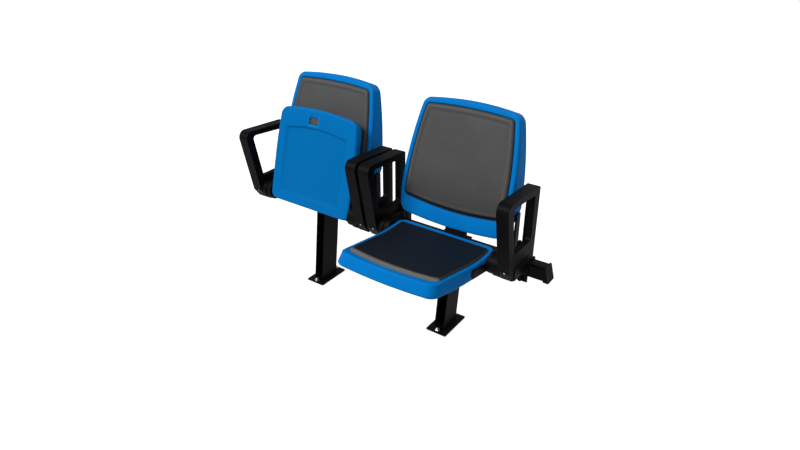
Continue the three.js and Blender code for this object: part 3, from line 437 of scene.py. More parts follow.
def moulded_skin(name):
    """Skin of self-skinning foam: a fine leather grain, paler on the roll with rubbing and a painted highlight,
    and darker at a back cushion's foot with a painted shade and a painted shadow.
    """
    colours = settings().colours
    base = getattr(colours, name)
    rolled = getattr(colours, name.replace("skin", "roll"))
    cloudy, dark = (tuple(share * v for v in base[:3]) + (1.0,) for share in (0.88, 0.68))
    material, node, place = new_material(name)
    roll, low, board = (node("ShaderNodeAttribute", attribute_name=stored).outputs["Fac"]
                        for stored in ("roll", "low", "board"))
    # The roll is rubbed in patches and also takes a painted highlight.
    rubbed = node("ShaderNodeMath", {0: roll, 1: patches(node, place, 60, 4, onto=(0.25, 0.75))},
                  operation="MULTIPLY")
    worn = node("ShaderNodeMapRange", {"Value": rubbed, "From Min": 0.02, "From Max": 0.46})
    # A painted shade darkens the lower half of a back cushion towards its foot, and a near-black painted shadow
    # lies along the foot, in the gap below it.
    tone = layered(node, base, (patches(node, place, 120, 2, (0.35, 0.65)), cloudy), (low, dark),
                   (worn, rolled), (board, colours.board))
    # Real pores are about 0.5 mm, drawn at 1.3 mm so that they show between the creases.
    cells = node("ShaderNodeTexVoronoi", {"Vector": place, "Scale": per(1.3)}, feature="DISTANCE_TO_EDGE")
    pores = node("ShaderNodeMapRange", {"Value": cells.outputs["Distance"], "From Max": 0.25})
    grain = node("ShaderNodeMath", {0: patches(node, place, 14, 5, onto=(0.0, 6.0)), 1: pores},
                 operation="ADD")
    return finish(material, node, tone, patches(node, place, 60, 4, onto=(0.46, 0.6)), grain,
                  {"IOR": 1.46, "Specular IOR Level": 0.2}, depth_mm=0.09, strength=0.7)


def zinc_plate(name):
    """Bright zinc plate on steel: metallic, with faint patches of passivation."""
    colours = settings().colours
    material, node, place = new_material(name)
    tone = layered(node, colours.zinc, (patches(node, place, 4, 3), colours.zinc_dull))
    return finish(material, node, tone, patches(node, place, 3, 4, onto=(0.22, 0.38)),
                  patches(node, place, 0.5, 2), {"Metallic": 1.0}, depth_mm=0.02, strength=0.6)


def bare_tag(name):
    """Bare moulded ABS plate: matt grey-brown with a fine grain."""
    colours = settings().colours
    material, node, place = new_material(name)
    tone = layered(node, colours.tag, (patches(node, place, 12, 2), colours.tag_deep))
    # Its grain is about 0.3 mm, drawn at 1 mm so that it shows.
    return finish(material, node, tone, 0.5, patches(node, place, 1.0, 3),
                  {"Specular IOR Level": 0.3}, depth_mm=0.05, strength=0.6)


# Each finish: its material's name and maker, and its slot in the record.
FINISHES = {
    "shell": ("moulded_polyethylene", moulded_polyethylene, "shell_plastic"),
    "nylon": ("moulded_nylon", moulded_nylon, "black_plastic"),
    "paint": ("powder_coat", powder_coat, "black_paint"),
    "seat_skin": ("seat_skin", moulded_skin, "cushion_leather"),
    "back_skin": ("back_skin", moulded_skin, "cushion_leather"),
    "zinc": ("zinc_plate", zinc_plate, "zinc_steel"),
    "tag": ("bare_tag", bare_tag, "black_plastic"),
}


def coat(mesh, kind):
    """Gives a mesh one of the finishes, whose material is made on its first use."""
    name, maker, _ = FINISHES[kind]
    mesh.materials.clear()
    mesh.materials.append(bpy.data.materials.get(name) or maker(name))


# Meshes

def new_object(name, mesh):
    piece = bpy.data.objects.new(name, mesh)
    bpy.context.scene.collection.objects.link(piece)
    return piece


def made(name, shape):
    """A new object from a closed bmesh, with its faces turned outwards."""
    bmesh.ops.recalc_face_normals(shape, faces=shape.faces)
    mesh = bpy.data.meshes.new(name)
    shape.to_mesh(mesh)
    shape.free()
    return new_object(name, mesh)


def settle(piece, kind, body, *nodes):
    """Gives a finished piece its material and its body, and hides the nodes that it stands for."""
    coat(piece.data, kind)
    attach(piece, body)
    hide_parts(*nodes)


def points_of(piece):
    """A piece's points, a row of X, Y and Z each."""
    points = np.empty(len(piece.data.vertices) * 3, np.float32)
    piece.data.vertices.foreach_get("co", points)
    return points.reshape(-1, 3).astype(float)


def store(piece, name, values, domain="POINT"):
    """Stores a value at each point, or at each corner, for the piece's material."""
    attribute = piece.data.attributes.new(name, "FLOAT", domain)
    attribute.data.foreach_set("value", np.array(values, np.float32))


def shade_smooth(mesh, degrees=30):
    mesh.polygons.foreach_set("use_smooth", [True] * len(mesh.polygons))
    mesh.set_sharp_from_angle(angle=math.radians(degrees))


def baked(piece):
    """Applies a piece's modifiers, as a new plain mesh that takes the old one's place."""
    bpy.context.view_layer.update()
    mesh = bpy.data.meshes.new_from_object(piece.evaluated_get(bpy.context.evaluated_depsgraph_get()))
    mesh.name = piece.name
    old = piece.data
    piece.modifiers.clear()
    piece.data = mesh
    bpy.data.meshes.remove(old)


def bevelled(piece, width, segments=3):
    """Rounds a piece's sharp edges, with its flat faces kept flat to the eye."""
    shade_smooth(piece.data)
    bevel = piece.modifiers.new("rounding", "BEVEL")
    bevel.width = width
    bevel.segments = segments
    bevel.limit_method = "ANGLE"
    bevel.angle_limit = math.radians(32)
    bevel.miter_outer = "MITER_ARC"
    piece.modifiers.new("flat_faces", "WEIGHTED_NORMAL").keep_sharp = True
    baked(piece)
    mark_edges(piece, width)


def mark_edges(piece, rounding):
    """Stores which faces belong to a rounded edge: the ones much narrower than its rounding."""
    points, narrow = points_of(piece), rounding * 0.62
    marks = np.zeros(len(piece.data.loops))
    for face in piece.data.polygons:
        around = points[list(face.vertices)]
        longest = np.linalg.norm(around - np.roll(around, 1, 0), axis=1).max()
        if face.area < longest * narrow:
            marks[face.loop_start:face.loop_start + face.loop_total] = 1.0
    store(piece, "edge", marks, "CORNER")


def combine(piece, operation, *tools):
    """Joins pieces to, or cuts them from, a piece."""
    for tool in tools:
        change = piece.modifiers.new(operation.lower(), "BOOLEAN")
        change.operation = operation
        change.solver = "EXACT"
        change.object = tool
    baked(piece)
    for tool in tools:
        bpy.data.objects.remove(tool)


def tidy_copy(node, name):
    """A merged copy of a CAD node with its flat faces whole again."""
    shape = bmesh.new()
    shape.from_mesh(frame["nodes"][node].data)
    bmesh.ops.remove_doubles(shape, verts=shape.verts, dist=0.01 * MM)
    bmesh.ops.dissolve_limit(shape, angle_limit=math.radians(0.5), verts=shape.verts, edges=shape.edges)
    return made(name, shape)


def grow(piece, growth):
    """Moves a piece's faces outwards."""
    shape = bmesh.new()
    shape.from_mesh(piece.data)
    moves = [vert.normal * vert.calc_shell_factor() * growth for vert in shape.verts]
    for vert, move in zip(shape.verts, moves):
        vert.co += move
    shape.to_mesh(piece.data)
    shape.free()


def rounded_outline(corners):
    """Corners [y, z, radius], the radius left out where it is sharp, as a closed outline."""
    steps = settings().arc
    outline = []
    spots = [Vector(corner[:2]) for corner in corners]
    for i, spot in enumerate(spots):
        radius = (*corners[i], 0)[2]
        if radius <= 0:
            outline.append(spot)
            continue
        before = (spots[i - 1] - spot).normalized()
        after = (spots[(i + 1) % len(spots)] - spot).normalized()
        half = before.angle(after) / 2
        centre = spot + (before + after).normalized() * radius / math.sin(half)
        start = spot + before * radius / math.tan(half) - centre
        end = spot + after * radius / math.tan(half) - centre
        turn = start.angle_signed(end)
        outline += [centre + Matrix.Rotation(-turn * step / steps, 2) @ start for step in range(steps + 1)]
    return outline


def arc(radius, start, end, steps, y=0.0, z=0.0):
    """Points round part of a circle, from one angle to another."""
    turns = np.linspace(start, end, steps)
    return [Vector((y + radius * math.cos(turn), z + radius * math.sin(turn))) for turn in turns]


def disc(radius, y=0.0, z=0.0, steps=64):
    return arc(radius, 0, 2 * math.pi, steps + 1, y, z)[:-1]


def prism(name, outline, start, end):
    """A solid from an outline in the YZ plane, from one X to another."""
    shape = bmesh.new()
    near, far = ([shape.verts.new((x, y, z)) for y, z in outline] for x in (start, end))
    for face in [near, far] + [(near[i - 1], near[i], far[i], far[i - 1]) for i in range(len(near))]:
        shape.faces.new(face)
    return made(name, shape)


def rod(name, radius, start, end, x, z):
    """A round bar along Y."""
    shape = bmesh.new()
    place = Matrix.Translation((x, (start + end) / 2, z)) @ Matrix.Rotation(math.pi / 2, 4, "X")
    bmesh.ops.create_cone(shape, cap_ends=True, segments=48, radius1=radius, radius2=radius,
                          depth=end - start, matrix=place)
    return made(name, shape)


# Moulded panels

class Plan(NamedTuple):
    """A panel's outline: its ends, how far they bow out, its corners, and its half width along it."""

    low: float
    high: float
    low_bow: float
    high_bow: float
    corner: float
    side: Callable

    def ring(self, inset=0.0):
        """Points round the outline, as shares from -1 to 1 of its half sizes."""
        corner_steps, side_steps = settings().ring_corner, settings().ring_side
        middle = np.array((self.low + self.high) / 2)
        half = np.array((float(self.side(middle)), (self.high - self.low) / 2))
        inner = half - inset
        corner = min(max(self.corner - inset, self.corner / 2), *inner)
        corners = []
        for quarter, signs in enumerate(((1, 1), (-1, 1), (-1, -1), (1, -1))):
            angles = (quarter + np.arange(corner_steps + 1) / corner_steps) * math.pi / 2
            turned = np.stack([np.cos(angles), np.sin(angles)], 1)
            corners.append((np.array(signs) * (inner - corner) + corner * turned) / half)
        points = []
        for here, following in zip(corners, corners[1:] + corners[:1]):
            shares = np.arange(1, side_steps)[:, None] / side_steps
            points += [here, here[-1] + (following[0] - here[-1]) * shares]
        return np.concatenate(points)

    def spots(self, shares):
        """Where shares lie on the panel: across it and along it."""
        sideways, along = shares[:, 0], shares[:, 1]
        low = self.low + self.low_bow * sideways ** 2
        high = self.high - self.high_bow * sideways ** 2
        up = low + (high - low) * (along + 1) / 2
        return sideways * self.side(up), up


def loft(name, rings):
    """A closed skin through rings of points, ending in a point at each end."""
    shape = bmesh.new()
    rows = [[shape.verts.new(point) for point in ring] for ring in rings]
    for first, second in zip(rows, rows[1:]):
        for i in range(max(len(first), len(second))):
            corners = [first[i % len(first)], first[(i + 1) % len(first)],
                       second[(i + 1) % len(second)], second[i % len(second)]]
            shape.faces.new(list(dict.fromkeys(corners)))
    return made(name, shape)


def rings_at(place, plan, rows):
    """A panel's rings, each at its own inset and heights."""
    return [place(plan, plan.ring(inset), heights) for inset, heights in rows]


def face_rings(place, plan, inset, steps, heights):
    """Rings from a panel's middle, which is one point, out to its ring at an inset."""
    outer = plan.ring(inset)
    shares = [np.zeros((1, 2))] + [outer * (step / steps) for step in range(1, steps + 1)]
    return [place(plan, share, heights) for share in shares]


def edge_steps(radius, steps=6):
    """Inset and drop at each step round a quarter-round edge, from the face to the side."""
    angles = [math.pi / 2 * step / steps for step in range(steps + 1)]
    return [(radius * (1 - math.sin(a)), radius * (1 - math.cos(a))) for a in angles]


def recessed_face(place, pad, rim, recess, edge, below):
    """Rings of a moulded face, from the floor of its cushion's recess out over its rounded rim."""
    gap, lip = settings().cushion.gap, settings().cushion.lip
    floor = face_rings(place, pad, lip - gap, settings().face, below(recess))
    # The floor meets the recess's wall in a small fillet.
    wall = [(inset - gap, below(recess - drop)) for inset, drop in edge_steps(lip, 3)[1:]]
    wall += [(-gap - inset, below(drop)) for inset, drop in edge_steps(lip, 4)[::-1]]
    outside = [(inset, below(drop)) for inset, drop in edge_steps(edge)]
    return floor + rings_at(place, pad, wall) + rings_at(place, rim, outside)


def level(value):
    return lambda shares, up: np.full(len(shares), float(value))


def smoothstep(value, low, high):
    share = np.clip((value - low) / (high - low), 0, 1)
    return share * share * (3 - 2 * share)


def drawn_in(widest, draw, start, end, power):
    """A half width that draws in from a start to an end."""
    return lambda at: widest - draw * (np.maximum(at - start, 0) / (end - start)) ** power


# Seat pan and its cushion

def pan_plans():
    """Outlines of a pan's underside, its rim, its sunken field and its cushion."""
    pan, cushion = settings().pan, settings().cushion
    under = Plan(pan.rear, pan.front, 0, pan.front_bow, pan.corner,
                 drawn_in(pan.half_width, pan.front_draw, pan.front / 2, pan.front, 1.5))
    rim = Plan(pan.rear - pan.rim_rear, pan.front - pan.rim_front, 0, pan.front_bow, pan.corner,
               drawn_in(pan.half_width - pan.rim_draw, pan.front_draw, pan.front / 6, pan.front, 1.35))

    def field(share):
        """The sunken field's outline, a share of the way down its slopes."""
        return Plan(pan.field_rear + share * pan.side_slope, pan.field_front - share * pan.front_slope, 0,
                    pan.field_bow, pan.field_corner,
                    lambda at: np.full(np.shape(at), pan.field_half - share * pan.side_slope))

    pad = Plan(cushion.seat_rear, cushion.seat_front, 0, cushion.seat_bow, cushion.seat_corner,
               lambda at: rim.side(at) - cushion.seat_inset)
    return under, rim, field, pad


def pan_top(forward):
    """Height of a pan's top, which rises towards its rear edge."""
    pan = settings().pan
    share = np.maximum(pan.rise_end - forward, 0) / (pan.rise_end - pan.rear + pan.rim_rear)
    return pan.thickness + pan.rear_rise * share ** 2


def below_top(drop):
    return lambda shares, forward: pan_top(forward) - drop


def field_height(share):
    """Height of the sunken field, a share of the way down its slopes, and deeper towards the front."""
    pan = settings().pan
    at_rear = 0.4

    def heights(shares, forward):
        reach = np.clip((forward - pan.field_rear) / (pan.field_front - pan.field_rear), 0, 1)
        return pan.field_depth * smoothstep(share, 0, 1) * (at_rear + (1 - at_rear) * reach)
    return heights


def seat_turn(body):
    """How a seat is turned at rest: one starts folded up and one starts down."""
    low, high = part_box("seat_pan_" + body.split("_")[1])
    folded = high.z - low.z > high.y - low.y
    return Matrix.Rotation(-TURN_UP if folded else -TURN_DOWN, 4, "X")


def pan_place(body):
    """Places points of a seat's own panel in the row, turned about its pivot."""
    pan = settings().pan
    turn, pivot = np.array(seat_turn(body).to_3x3()), np.array(PIVOTS[body])

    def place(plan, shares, heights):
        x, forward = plan.spots(shares)
        local = np.stack([x, pan.pivot_forward - forward, heights(shares, forward) - pan.pivot_rise], 1)
        return local @ turn.T + pivot
    return place


def moved_in(piece, body, depth):
    """Moves a piece from a pan's underside into the pan."""
    piece.data.transform(Matrix.Translation(seat_turn(body) @ Vector((0, 0, depth))))
    return piece


def make_pan(side):
    body, tag = "seat_" + side, "tag_plate_" + side
    pan, fit = settings().pan, settings().hardware.fit
    under, rim, field, pad = pan_plans()
    place = pan_place(body)
    # Each ring has a painted shade: 1 in the sunken field, and less on the flat border round it.
    border = 0.75
    face = recessed_face(place, pad, rim, pan.recess, pan.edge, below_top)
    skin = [(ring, 0.0) for ring in face]
    for inset, drop in edge_steps(pan.under_edge, 8)[::-1]:
        shade = border * (1 - drop / pan.under_edge) ** 2
        skin.append((place(under, under.ring(inset), level(drop)), shade))
    # One more ring keeps the edge's shading off the flat border.
    skin.append((place(under, under.ring(pan.under_edge + 2 * MM), level(0)), border))
    for share in np.linspace(0, 1, 8):
        ring = place(field(share), field(share).ring(), field_height(share))
        skin.append((ring, border + (1 - border) * share))
    floor = face_rings(place, field(1), 2 * MM, 12, field_height(1))
    skin += [(ring, 1.0) for ring in reversed(floor)]
    piece = loft("pan_%s_moulded" % side, [ring for ring, _ in skin])
    store(piece, "under", np.concatenate([[shade] * len(ring) for ring, shade in skin]))
    cutters = [wing_pocket(number) for number in NUMBERS if side_body(number) == body]
    for share in (0, 0.5, 1):
        tag_place = tidy_copy(tag, tag + "_place")
        grow(tag_place, 2 * fit)
        cutters.append(moved_in(tag_place, body, share * pan.tag_sink))
    # The cut faces take the full painted shade, and no edge wear.
    for cutter in cutters:
        store(cutter, "under", [1.0] * len(cutter.data.vertices))
    combine(piece, "DIFFERENCE", *cutters)
    shade_smooth(piece.data, 45)
    settle(piece, "shell", body, "seat_pan_" + side)


def cushion_loft(name, plan, place, profile, dome, sink):
    """A closed cushion and how far each point is on its roll.

    The profile gives inset and height from its face down its side to its foot.
    """
    inner = profile[0][0]
    face = face_rings(place, plan, inner, settings().pad_face, dome(profile[0][1]))
    side = rings_at(place, plan, [(inset, dome(height)) for inset, height in profile[1:]])
    foot = face_rings(place, plan, settings().cushion.gap + 2 * MM, 6, dome(-sink))[::-1]
    piece = loft(name, face + side + foot)
    shade_smooth(piece.data, 60)
    starts, whole = inner * 0.85, inner * 0.55
    weights = [0.0] * len(face)
    weights += [float(smoothstep(inset, starts, whole)) for inset, _ in profile[1:]]
    weights += [0.0] * len(foot)
    rolls = [[weight] * len(ring) for weight, ring in zip(weights, face + side + foot)]
    return piece, np.concatenate(rolls)


# Inset and height down a seat cushion's side, in millimetres.
SEAT_SIDE = ((16, 4.0), (11, 3.9), (7, 3.6), (4.4, 3.0), (2.6, 2.2), (1.3, 1.1), (0.5, -0.2), (0.1, -1.8),
             (0, -3.5), (0.6, -7))
# The same of a back cushion: a shallow valley, a soft roll and a side that rounds away into the recess.
BACK_SIDE = ((30, 3.0), (26, 2.7), (22.5, 2.8), (19.5, 3.9), (16.5, 5.4), (13.5, 6.5), (11, 6.8), (8.6, 6.4),
             (6.5, 5.3), (4.7, 3.6), (3.2, 1.4), (2.1, -1.0), (1.4, -3.4), (1.2, -5.4), (1.8, -6.8))


def make_seat_cushion(side):
    body = "seat_" + side
    pan, cushion = settings().pan, settings().cushion
    pad = pan_plans()[3]
    sink = pan.recess - settings().hardware.fit

    def dome(height):
        def heights(shares, forward):
            sideways, along = shares[:, 0], shares[:, 1]
            crown = cushion.seat_crown / 2 * (1 - sideways ** 2) * (1 - along ** 2)
            ahead = pad.high - pad.high_bow * sideways ** 2 - forward
            # The front falls away in a broad roll.
            fall = cushion.seat_fall * (1 - smoothstep(ahead, MM, cushion.seat_roll)) ** 1.4
            lift = max(height, 0.0) / cushion.seat_crown
            return pan_top(forward) + height + lift * (crown - fall)
        return heights

    profile = [(inset * MM, height * MM) for inset, height in SEAT_SIDE]
    profile += [(1.6 * MM, 1.2 * MM - sink), (2.6 * MM, -sink)]
    piece, _ = cushion_loft("cushion_%s_seat_skin" % side, pad, pan_place(body), profile, dome, sink)
    store(piece, "roll", roll_shares(piece, body, pad))
    settle(piece, "seat_skin", body, "seat_cushion_" + side)


def roll_shares(piece, body, pad):
    """How far each point of a seat cushion lies on its front roll, and a little of its flanks, which take the
    roll's rubbing and painted highlight.
    """
    pan, cushion = settings().pan, settings().cushion
    local = (points_of(piece) - np.array(PIVOTS[body])) @ np.array(seat_turn(body).to_3x3())
    x, forward = local[:, 0], pan.pivot_forward - local[:, 1]
    half = pad.side(forward)
    ahead = pad.high - pad.high_bow * (x / half) ** 2 - forward
    front = 1 - smoothstep(ahead, cushion.seat_roll * 0.5, cushion.seat_roll * 0.9)
    flank = 1 - smoothstep(half - np.abs(x), 3 * MM, 9 * MM)
    return np.maximum(front, flank * 0.2)


# Back rest and its cushion

def back_plans():
    """Outlines of a back rest's shell and of its cushion."""
    back, cushion = settings().back, settings().cushion

    def side(up):
        above = back.top_draw * ((up - back.wide_at) / (back.high - back.wide_at)) ** 2
        below = back.low_draw * ((back.wide_at - up) / (back.wide_at - back.low)) ** 2
        return back.half_width - np.where(up > back.wide_at, above, below)

    shell = Plan(back.low, back.high, back.bow, back.bow, back.corner, side)
    pad = Plan(cushion.back_low, cushion.back_high, cushion.back_low_bow, cushion.back_high_bow,
               cushion.corner, lambda up: side(up) - cushion.back_inset)
    return shell, pad


def back_place(side):
    """Places points of a back rest's panel in the row. Heights stand out to its front."""
    back, pivot = settings().back, PIVOTS["seat_" + side]
    sine, cosine = math.sin(back.recline), math.cos(back.recline)

    def place(plan, shares, heights):
        x, up = plan.spots(shares)
        out = heights(shares, up) - back.dish * (1 - (x / back.half_width) ** 2)
        return np.stack([pivot.x + x, pivot.y + back.behind + up * sine - out * cosine,
                         pivot.z + back.above + up * cosine + out * sine], 1)
    return place


def back_spots(piece, side, plan):
    """Where each point lies on a back rest's panel: a share across it, and how far up."""
    back, pivot = settings().back, PIVOTS["seat_" + side]
    x, y, z = (points_of(piece) - np.array(pivot)).T
    up = (y - back.behind) * math.sin(back.recline) + (z - back.above) * math.cos(back.recline)
    return x / plan.side(up), up


def flange_height(share=1.0, extra=0.0):
    """How far back the flange lies, a share of its depth and an extra from the shell's front edge."""
    back = settings().back

    def heights(shares, up):
        upper = back.flange_knee + (back.flange_top - back.flange_knee) * (
            (up - back.flange_knee_at) / (back.high - back.flange_knee_at))
        lower = back.flange_foot + (back.flange_knee - back.flange_foot) * (
            (up - back.low) / (back.flange_knee_at - back.low))
        # The knee is a soft bend.
        blend = smoothstep(up, back.flange_knee_at - 25 * MM, back.flange_knee_at + 25 * MM)
        depth = lower * (1 - blend) + upper * blend
        corner_end = -1 + 2 * back.corner / (back.high - back.low)
        depth = back.flange_lip + (depth - back.flange_lip) * smoothstep(shares[:, 1], -1, corner_end)
        return -(back.edge + (depth - back.edge) * share) - extra
    return heights


# Inset and reach past the flange's depth round its free edge, in millimetres.
FLANGE_ROUND = ((0.0, -1.6), (0.5, -0.5), (1.6, 0.0), (2.9, 0.0), (4.0, -0.5), (4.5, -1.6))


def make_back(side):
    back, lip = settings().back, settings().cushion.lip
    shell, pad = back_plans()
    place = back_place(side)
    inside = back.recess + back.wall
    rings = recessed_face(place, pad, shell, back.recess, back.edge, lambda drop: level(-drop))
    # Out and down the flange, round its free edge, and back up inside it.
    rings += rings_at(place, shell, [(0, flange_height(share)) for share in (0.25, 0.5, 0.75, 0.95)])
    rings += rings_at(place, shell, [(inset * MM, flange_height(1, extra * MM))
                                     for inset, extra in FLANGE_ROUND])
    rings += rings_at(place, shell, [(back.wall, flange_height(share)) for share in (0.9, 0.6, 0.35)])
    rings += rings_at(place, shell, [(back.wall + inset, level(-inside - lip + drop))
                                     for drop, inset in edge_steps(lip, 4)[::-1]])
    rings += face_rings(place, pad, lip, settings().face, level(-inside))[::-1]
    piece = loft("back_%s_moulded" % side, rings)
    shade_smooth(piece.data, 50)
    settle(piece, "shell", "root", "back_shell_" + side)


def make_back_cushion(side):
    cushion = settings().cushion
    pad = back_plans()[1]
    sink = settings().back.recess - settings().hardware.fit

    def dome(height):
        def heights(shares, up):
            sideways, along = shares[:, 0], shares[:, 1]
            crown = cushion.back_crown * (1 - sideways ** 2) * (1 - along ** 2)
            # The roll runs out towards the foot.
            roll = max(height - cushion.back_rise, 0.0) * (smoothstep(along, -0.93, -0.75) - 1)
            face = height + roll + max(height, 0.0) / cushion.back_rise * crown
            # The foot is tucked in behind the shell's lower rim.
            foot = (along + 1) / 2 * (pad.high - pad.low)
            tuck = 1 - smoothstep(foot, cushion.back_seam * 0.4, cushion.back_seam)
            return np.where(face > -cushion.back_tuck, face - tuck * (face + cushion.back_tuck), face)
        return heights

    profile = [(inset * MM, height * MM) for inset, height in BACK_SIDE] + [(2.8 * MM, -sink)]
    piece, rolls = cushion_loft("cushion_%s_back_skin" % side, pad, back_place(side), profile, dome, sink)
    sideways, up = back_spots(piece, side, pad)
    # A painted shade, from a back cushion's middle, deepening down to its foot.
    low = 1 - smoothstep(up, pad.low, (pad.low + pad.high) / 2)
    foot = up - pad.low - pad.low_bow * sideways ** 2
    # The roll's painted highlight and rubbing fade out towards the shaded foot.
    store(piece, "roll", rolls * (1 - smoothstep(low, 0.5, 0.9)))
    store(piece, "low", low)
    # A near-black painted shadow along the lowest strip of the foot.
    store(piece, "board", 1 - smoothstep(foot, cushion.back_seam * 0.7, cushion.back_seam * 0.95))
    settle(piece, "back_skin", "root", "back_cushion_" + side)


# Armrests

def armrest_front(z):
    """Y of an armrest's front edge at a height."""
    arm = settings().arm
    run = arm.front_reach - arm.toe_reach - arm.toe
    rise = arm.top_rise - arm.sole_rise + arm.screw_drop
    return BEAM_LOW.y - arm.front_reach + run / rise * (BEAM_HIGH.z + arm.top_rise - z)


def make_armrest(number):
    arm, hardware = settings().arm, settings().hardware
    node = "armrest_%d" % number
    low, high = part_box(node)
    front, top = BEAM_LOW.y, BEAM_HIGH.z + arm.top_rise
    sole, foot = BEAM_HIGH.z + arm.sole_rise, BEAM_HIGH.z + hardware.fit
    rear, toe_back = front + arm.rear_leg, front - arm.toe_reach
    outline = [
        (armrest_front(top), top, arm.front_corner),
        (toe_back - arm.toe, sole - arm.screw_drop, arm.loop_corner),
        (toe_back - arm.toe_foot, low.z), (toe_back, low.z), (toe_back, sole), (front, sole),
        (front, foot), (rear, foot), (rear, top - arm.top_fall, arm.rear_corner),
    ]
    loop_top, loop_low = top - arm.top_bar, sole + arm.bottom_bar
    loop = [
        (front, loop_low, arm.loop_corner), (front, loop_top - arm.top_fall, arm.loop_corner),
        (armrest_front(loop_top) + arm.front_bar, loop_top, arm.loop_corner),
        (armrest_front(loop_low) + arm.front_bar, loop_low, arm.loop_corner),
    ]
    hollow_top, floor = top - arm.shell, sole + arm.shell
    hollow = [
        (armrest_front(hollow_top) + arm.shell, hollow_top, arm.front_corner - arm.shell),
        (armrest_front(floor) + arm.shell, floor, arm.shell), (rear - arm.shell, floor, arm.shell),
        (rear - arm.shell, hollow_top - arm.top_fall, arm.rear_corner - arm.shell),
    ]
    past = 5 * MM
    seat = toe_back - arm.toe + arm.edge
    piece = prism(node + "_moulded", rounded_outline(outline), low.x, high.x)
    combine(piece, "DIFFERENCE",
            prism("loop", rounded_outline(loop), low.x - past, high.x + past),
            prism("hollow", rounded_outline(hollow), low.x - past, high.x - arm.web),
            rod("screw_recess", hardware.screw_head + 2 * hardware.fit, seat - arm.toe,
                seat + hardware.screw_dome, (low.x + high.x) / 2, sole - arm.screw_drop))
    bevelled(piece, arm.edge)
    settle(piece, "nylon", "root", node)


# Hinges

def side_body(number):
    """The seat that a hinge carries."""
    return "seat_left" if number <= 2 else "seat_right"


def hinge_ends(node, number):
    """The end of a node nearest its seat's middle, its far end, and the direction outwards."""
    low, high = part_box(node)
    return (low.x, high.x, 1) if number % 2 == 0 else (high.x, low.x, -1)


def tipped(piece, number):
    """Brings a piece drawn about its pivot to its seat's slope and place."""
    body = side_body(number)
    piece.data.transform(Matrix.Translation((0, *PIVOTS[body].yz)) @ seat_turn(body))
    return piece


def make_hinge_cover(number):
    hinge, fit = settings().hinge, settings().hardware.fit
    node = "hinge_cover_%d" % number
    near, far, out = hinge_ends(node, number)
    y, z = PIVOTS[side_body(number)].yz
    face = near + out * hinge.lug
    tail = rounded_outline([
        (y, z - hinge.head_radius + fit), (y + hinge.tail, z - 2 * hinge.tail_half, hinge.tail_half / 2),
        (y + hinge.tail, z, hinge.tail_half / 2), (y, z + hinge.head_radius - fit)])
    lug = disc(hinge.lug_radius, y + hinge.lug_reach * math.cos(hinge.lug_angle),
               z + hinge.lug_reach * math.sin(hinge.lug_angle), steps=24)
    bore = disc(hinge.pivot_radius + 2 * fit, y, z)
    piece = prism(node + "_moulded", disc(hinge.head_radius, y, z, steps=96), face, far)
    combine(piece, "UNION", prism("tail", tail, face, far), prism("lug", lug, near, (face + far) / 2))
    combine(piece, "DIFFERENCE", prism("bore", bore, near, far + out * hinge.lug))
    bevelled(piece, hinge.edge)
    settle(piece, "nylon", "root", node)


def lug_slot():
    """Outline of the slot that the stop lug runs in, round the pivot."""
    hinge = settings().hinge
    reach, half = hinge.lug_reach, hinge.lug_radius + settings().hardware.fit
    start, end = hinge.lug_angle + TURN_DOWN, hinge.lug_angle + TURN_UP

    def round_end(at, first):
        """The half circle at one end of the slot."""
        return arc(half, first, first + math.pi, 9, reach * math.cos(at), reach * math.sin(at))[1:-1]

    return (arc(reach + half, start, end, 24) + round_end(end, end) + arc(reach - half, end, start, 24)
            + round_end(start, start + math.pi))


def wing_outline(grow=0.0, rear=None):
    """A wing arm's side view about the pivot, or its pocket's, which opens at the rear."""
    hinge = settings().hinge
    heel, heel_corner = (hinge.heel, hinge.wing_corner) if rear is None else (rear, 0)
    low, high, raised = -hinge.wing_low - grow, hinge.wing_high + grow, hinge.heel_high + grow
    front = -hinge.wing_reach - grow
    return rounded_outline([
        (heel, low, heel_corner), (heel, raised, heel_corner), (-hinge.heel_front - grow, raised),
        (-hinge.heel_front - hinge.heel - grow, high), (front, high, hinge.wing_corner),
        (front, low, hinge.wing_corner)])


def wing_pocket(number):
    """What a wing arm takes out of the side of its pan."""
    hinge, pan, fit = settings().hinge, settings().pan, settings().hardware.fit
    near, _, out = hinge_ends("wing_arm_%d" % number, number)
    rear = pan.pivot_forward - pan.rear + pan.rim_rear + hinge.edge
    pocket = prism("pocket", wing_outline(fit, rear), near - out * fit, near + out * 2 * hinge.wing)
    return tipped(pocket, number)


def make_wing_arm(number):
    hinge, fit = settings().hinge, settings().hardware.fit
    node = "wing_arm_%d" % number
    near, far, out = hinge_ends(node, number)
    inner, outer = near - out * hinge.wing, far + out * hinge.wing
    piece = prism(node + "_moulded", wing_outline(), near, near + out * hinge.wing)
    combine(piece, "UNION", prism("hub", disc(hinge.hub_radius, steps=96),
                                  near + out * (hinge.wing - fit), far))
    combine(piece, "DIFFERENCE",
            prism("bore", disc(hinge.pivot_radius + 2 * fit), inner, outer),
            prism("counterbore", disc(hinge.pivot_head + 2 * fit), inner, near + out * hinge.head_depth),
            prism("slot", lug_slot(), far - out * (hinge.lug + fit), outer))
    bevelled(piece, hinge.edge)
    settle(tipped(piece, number), "nylon", side_body(number), node)


# Geometry Nodes

def new_tree(name, *sizes):
    """A geometry tree with named inputs for its sizes, what adds a node to it, and its inputs."""
    tree = bpy.data.node_groups.new(name, "GeometryNodeTree")
    kinds = [("Geometry", "Geometry")] + [(size, "Float") for size in sizes]
    for label, kind in kinds + [("Turn", "Vector"), ("Finish", "Material")]:
        tree.interface.new_socket(label, in_out="INPUT", socket_type="NodeSocket" + kind)
    tree.interface.new_socket("Geometry", in_out="OUTPUT", socket_type="NodeSocketGeometry")
    node = partial(add_node, tree)
    return tree, node, node("NodeGroupInput").outputs


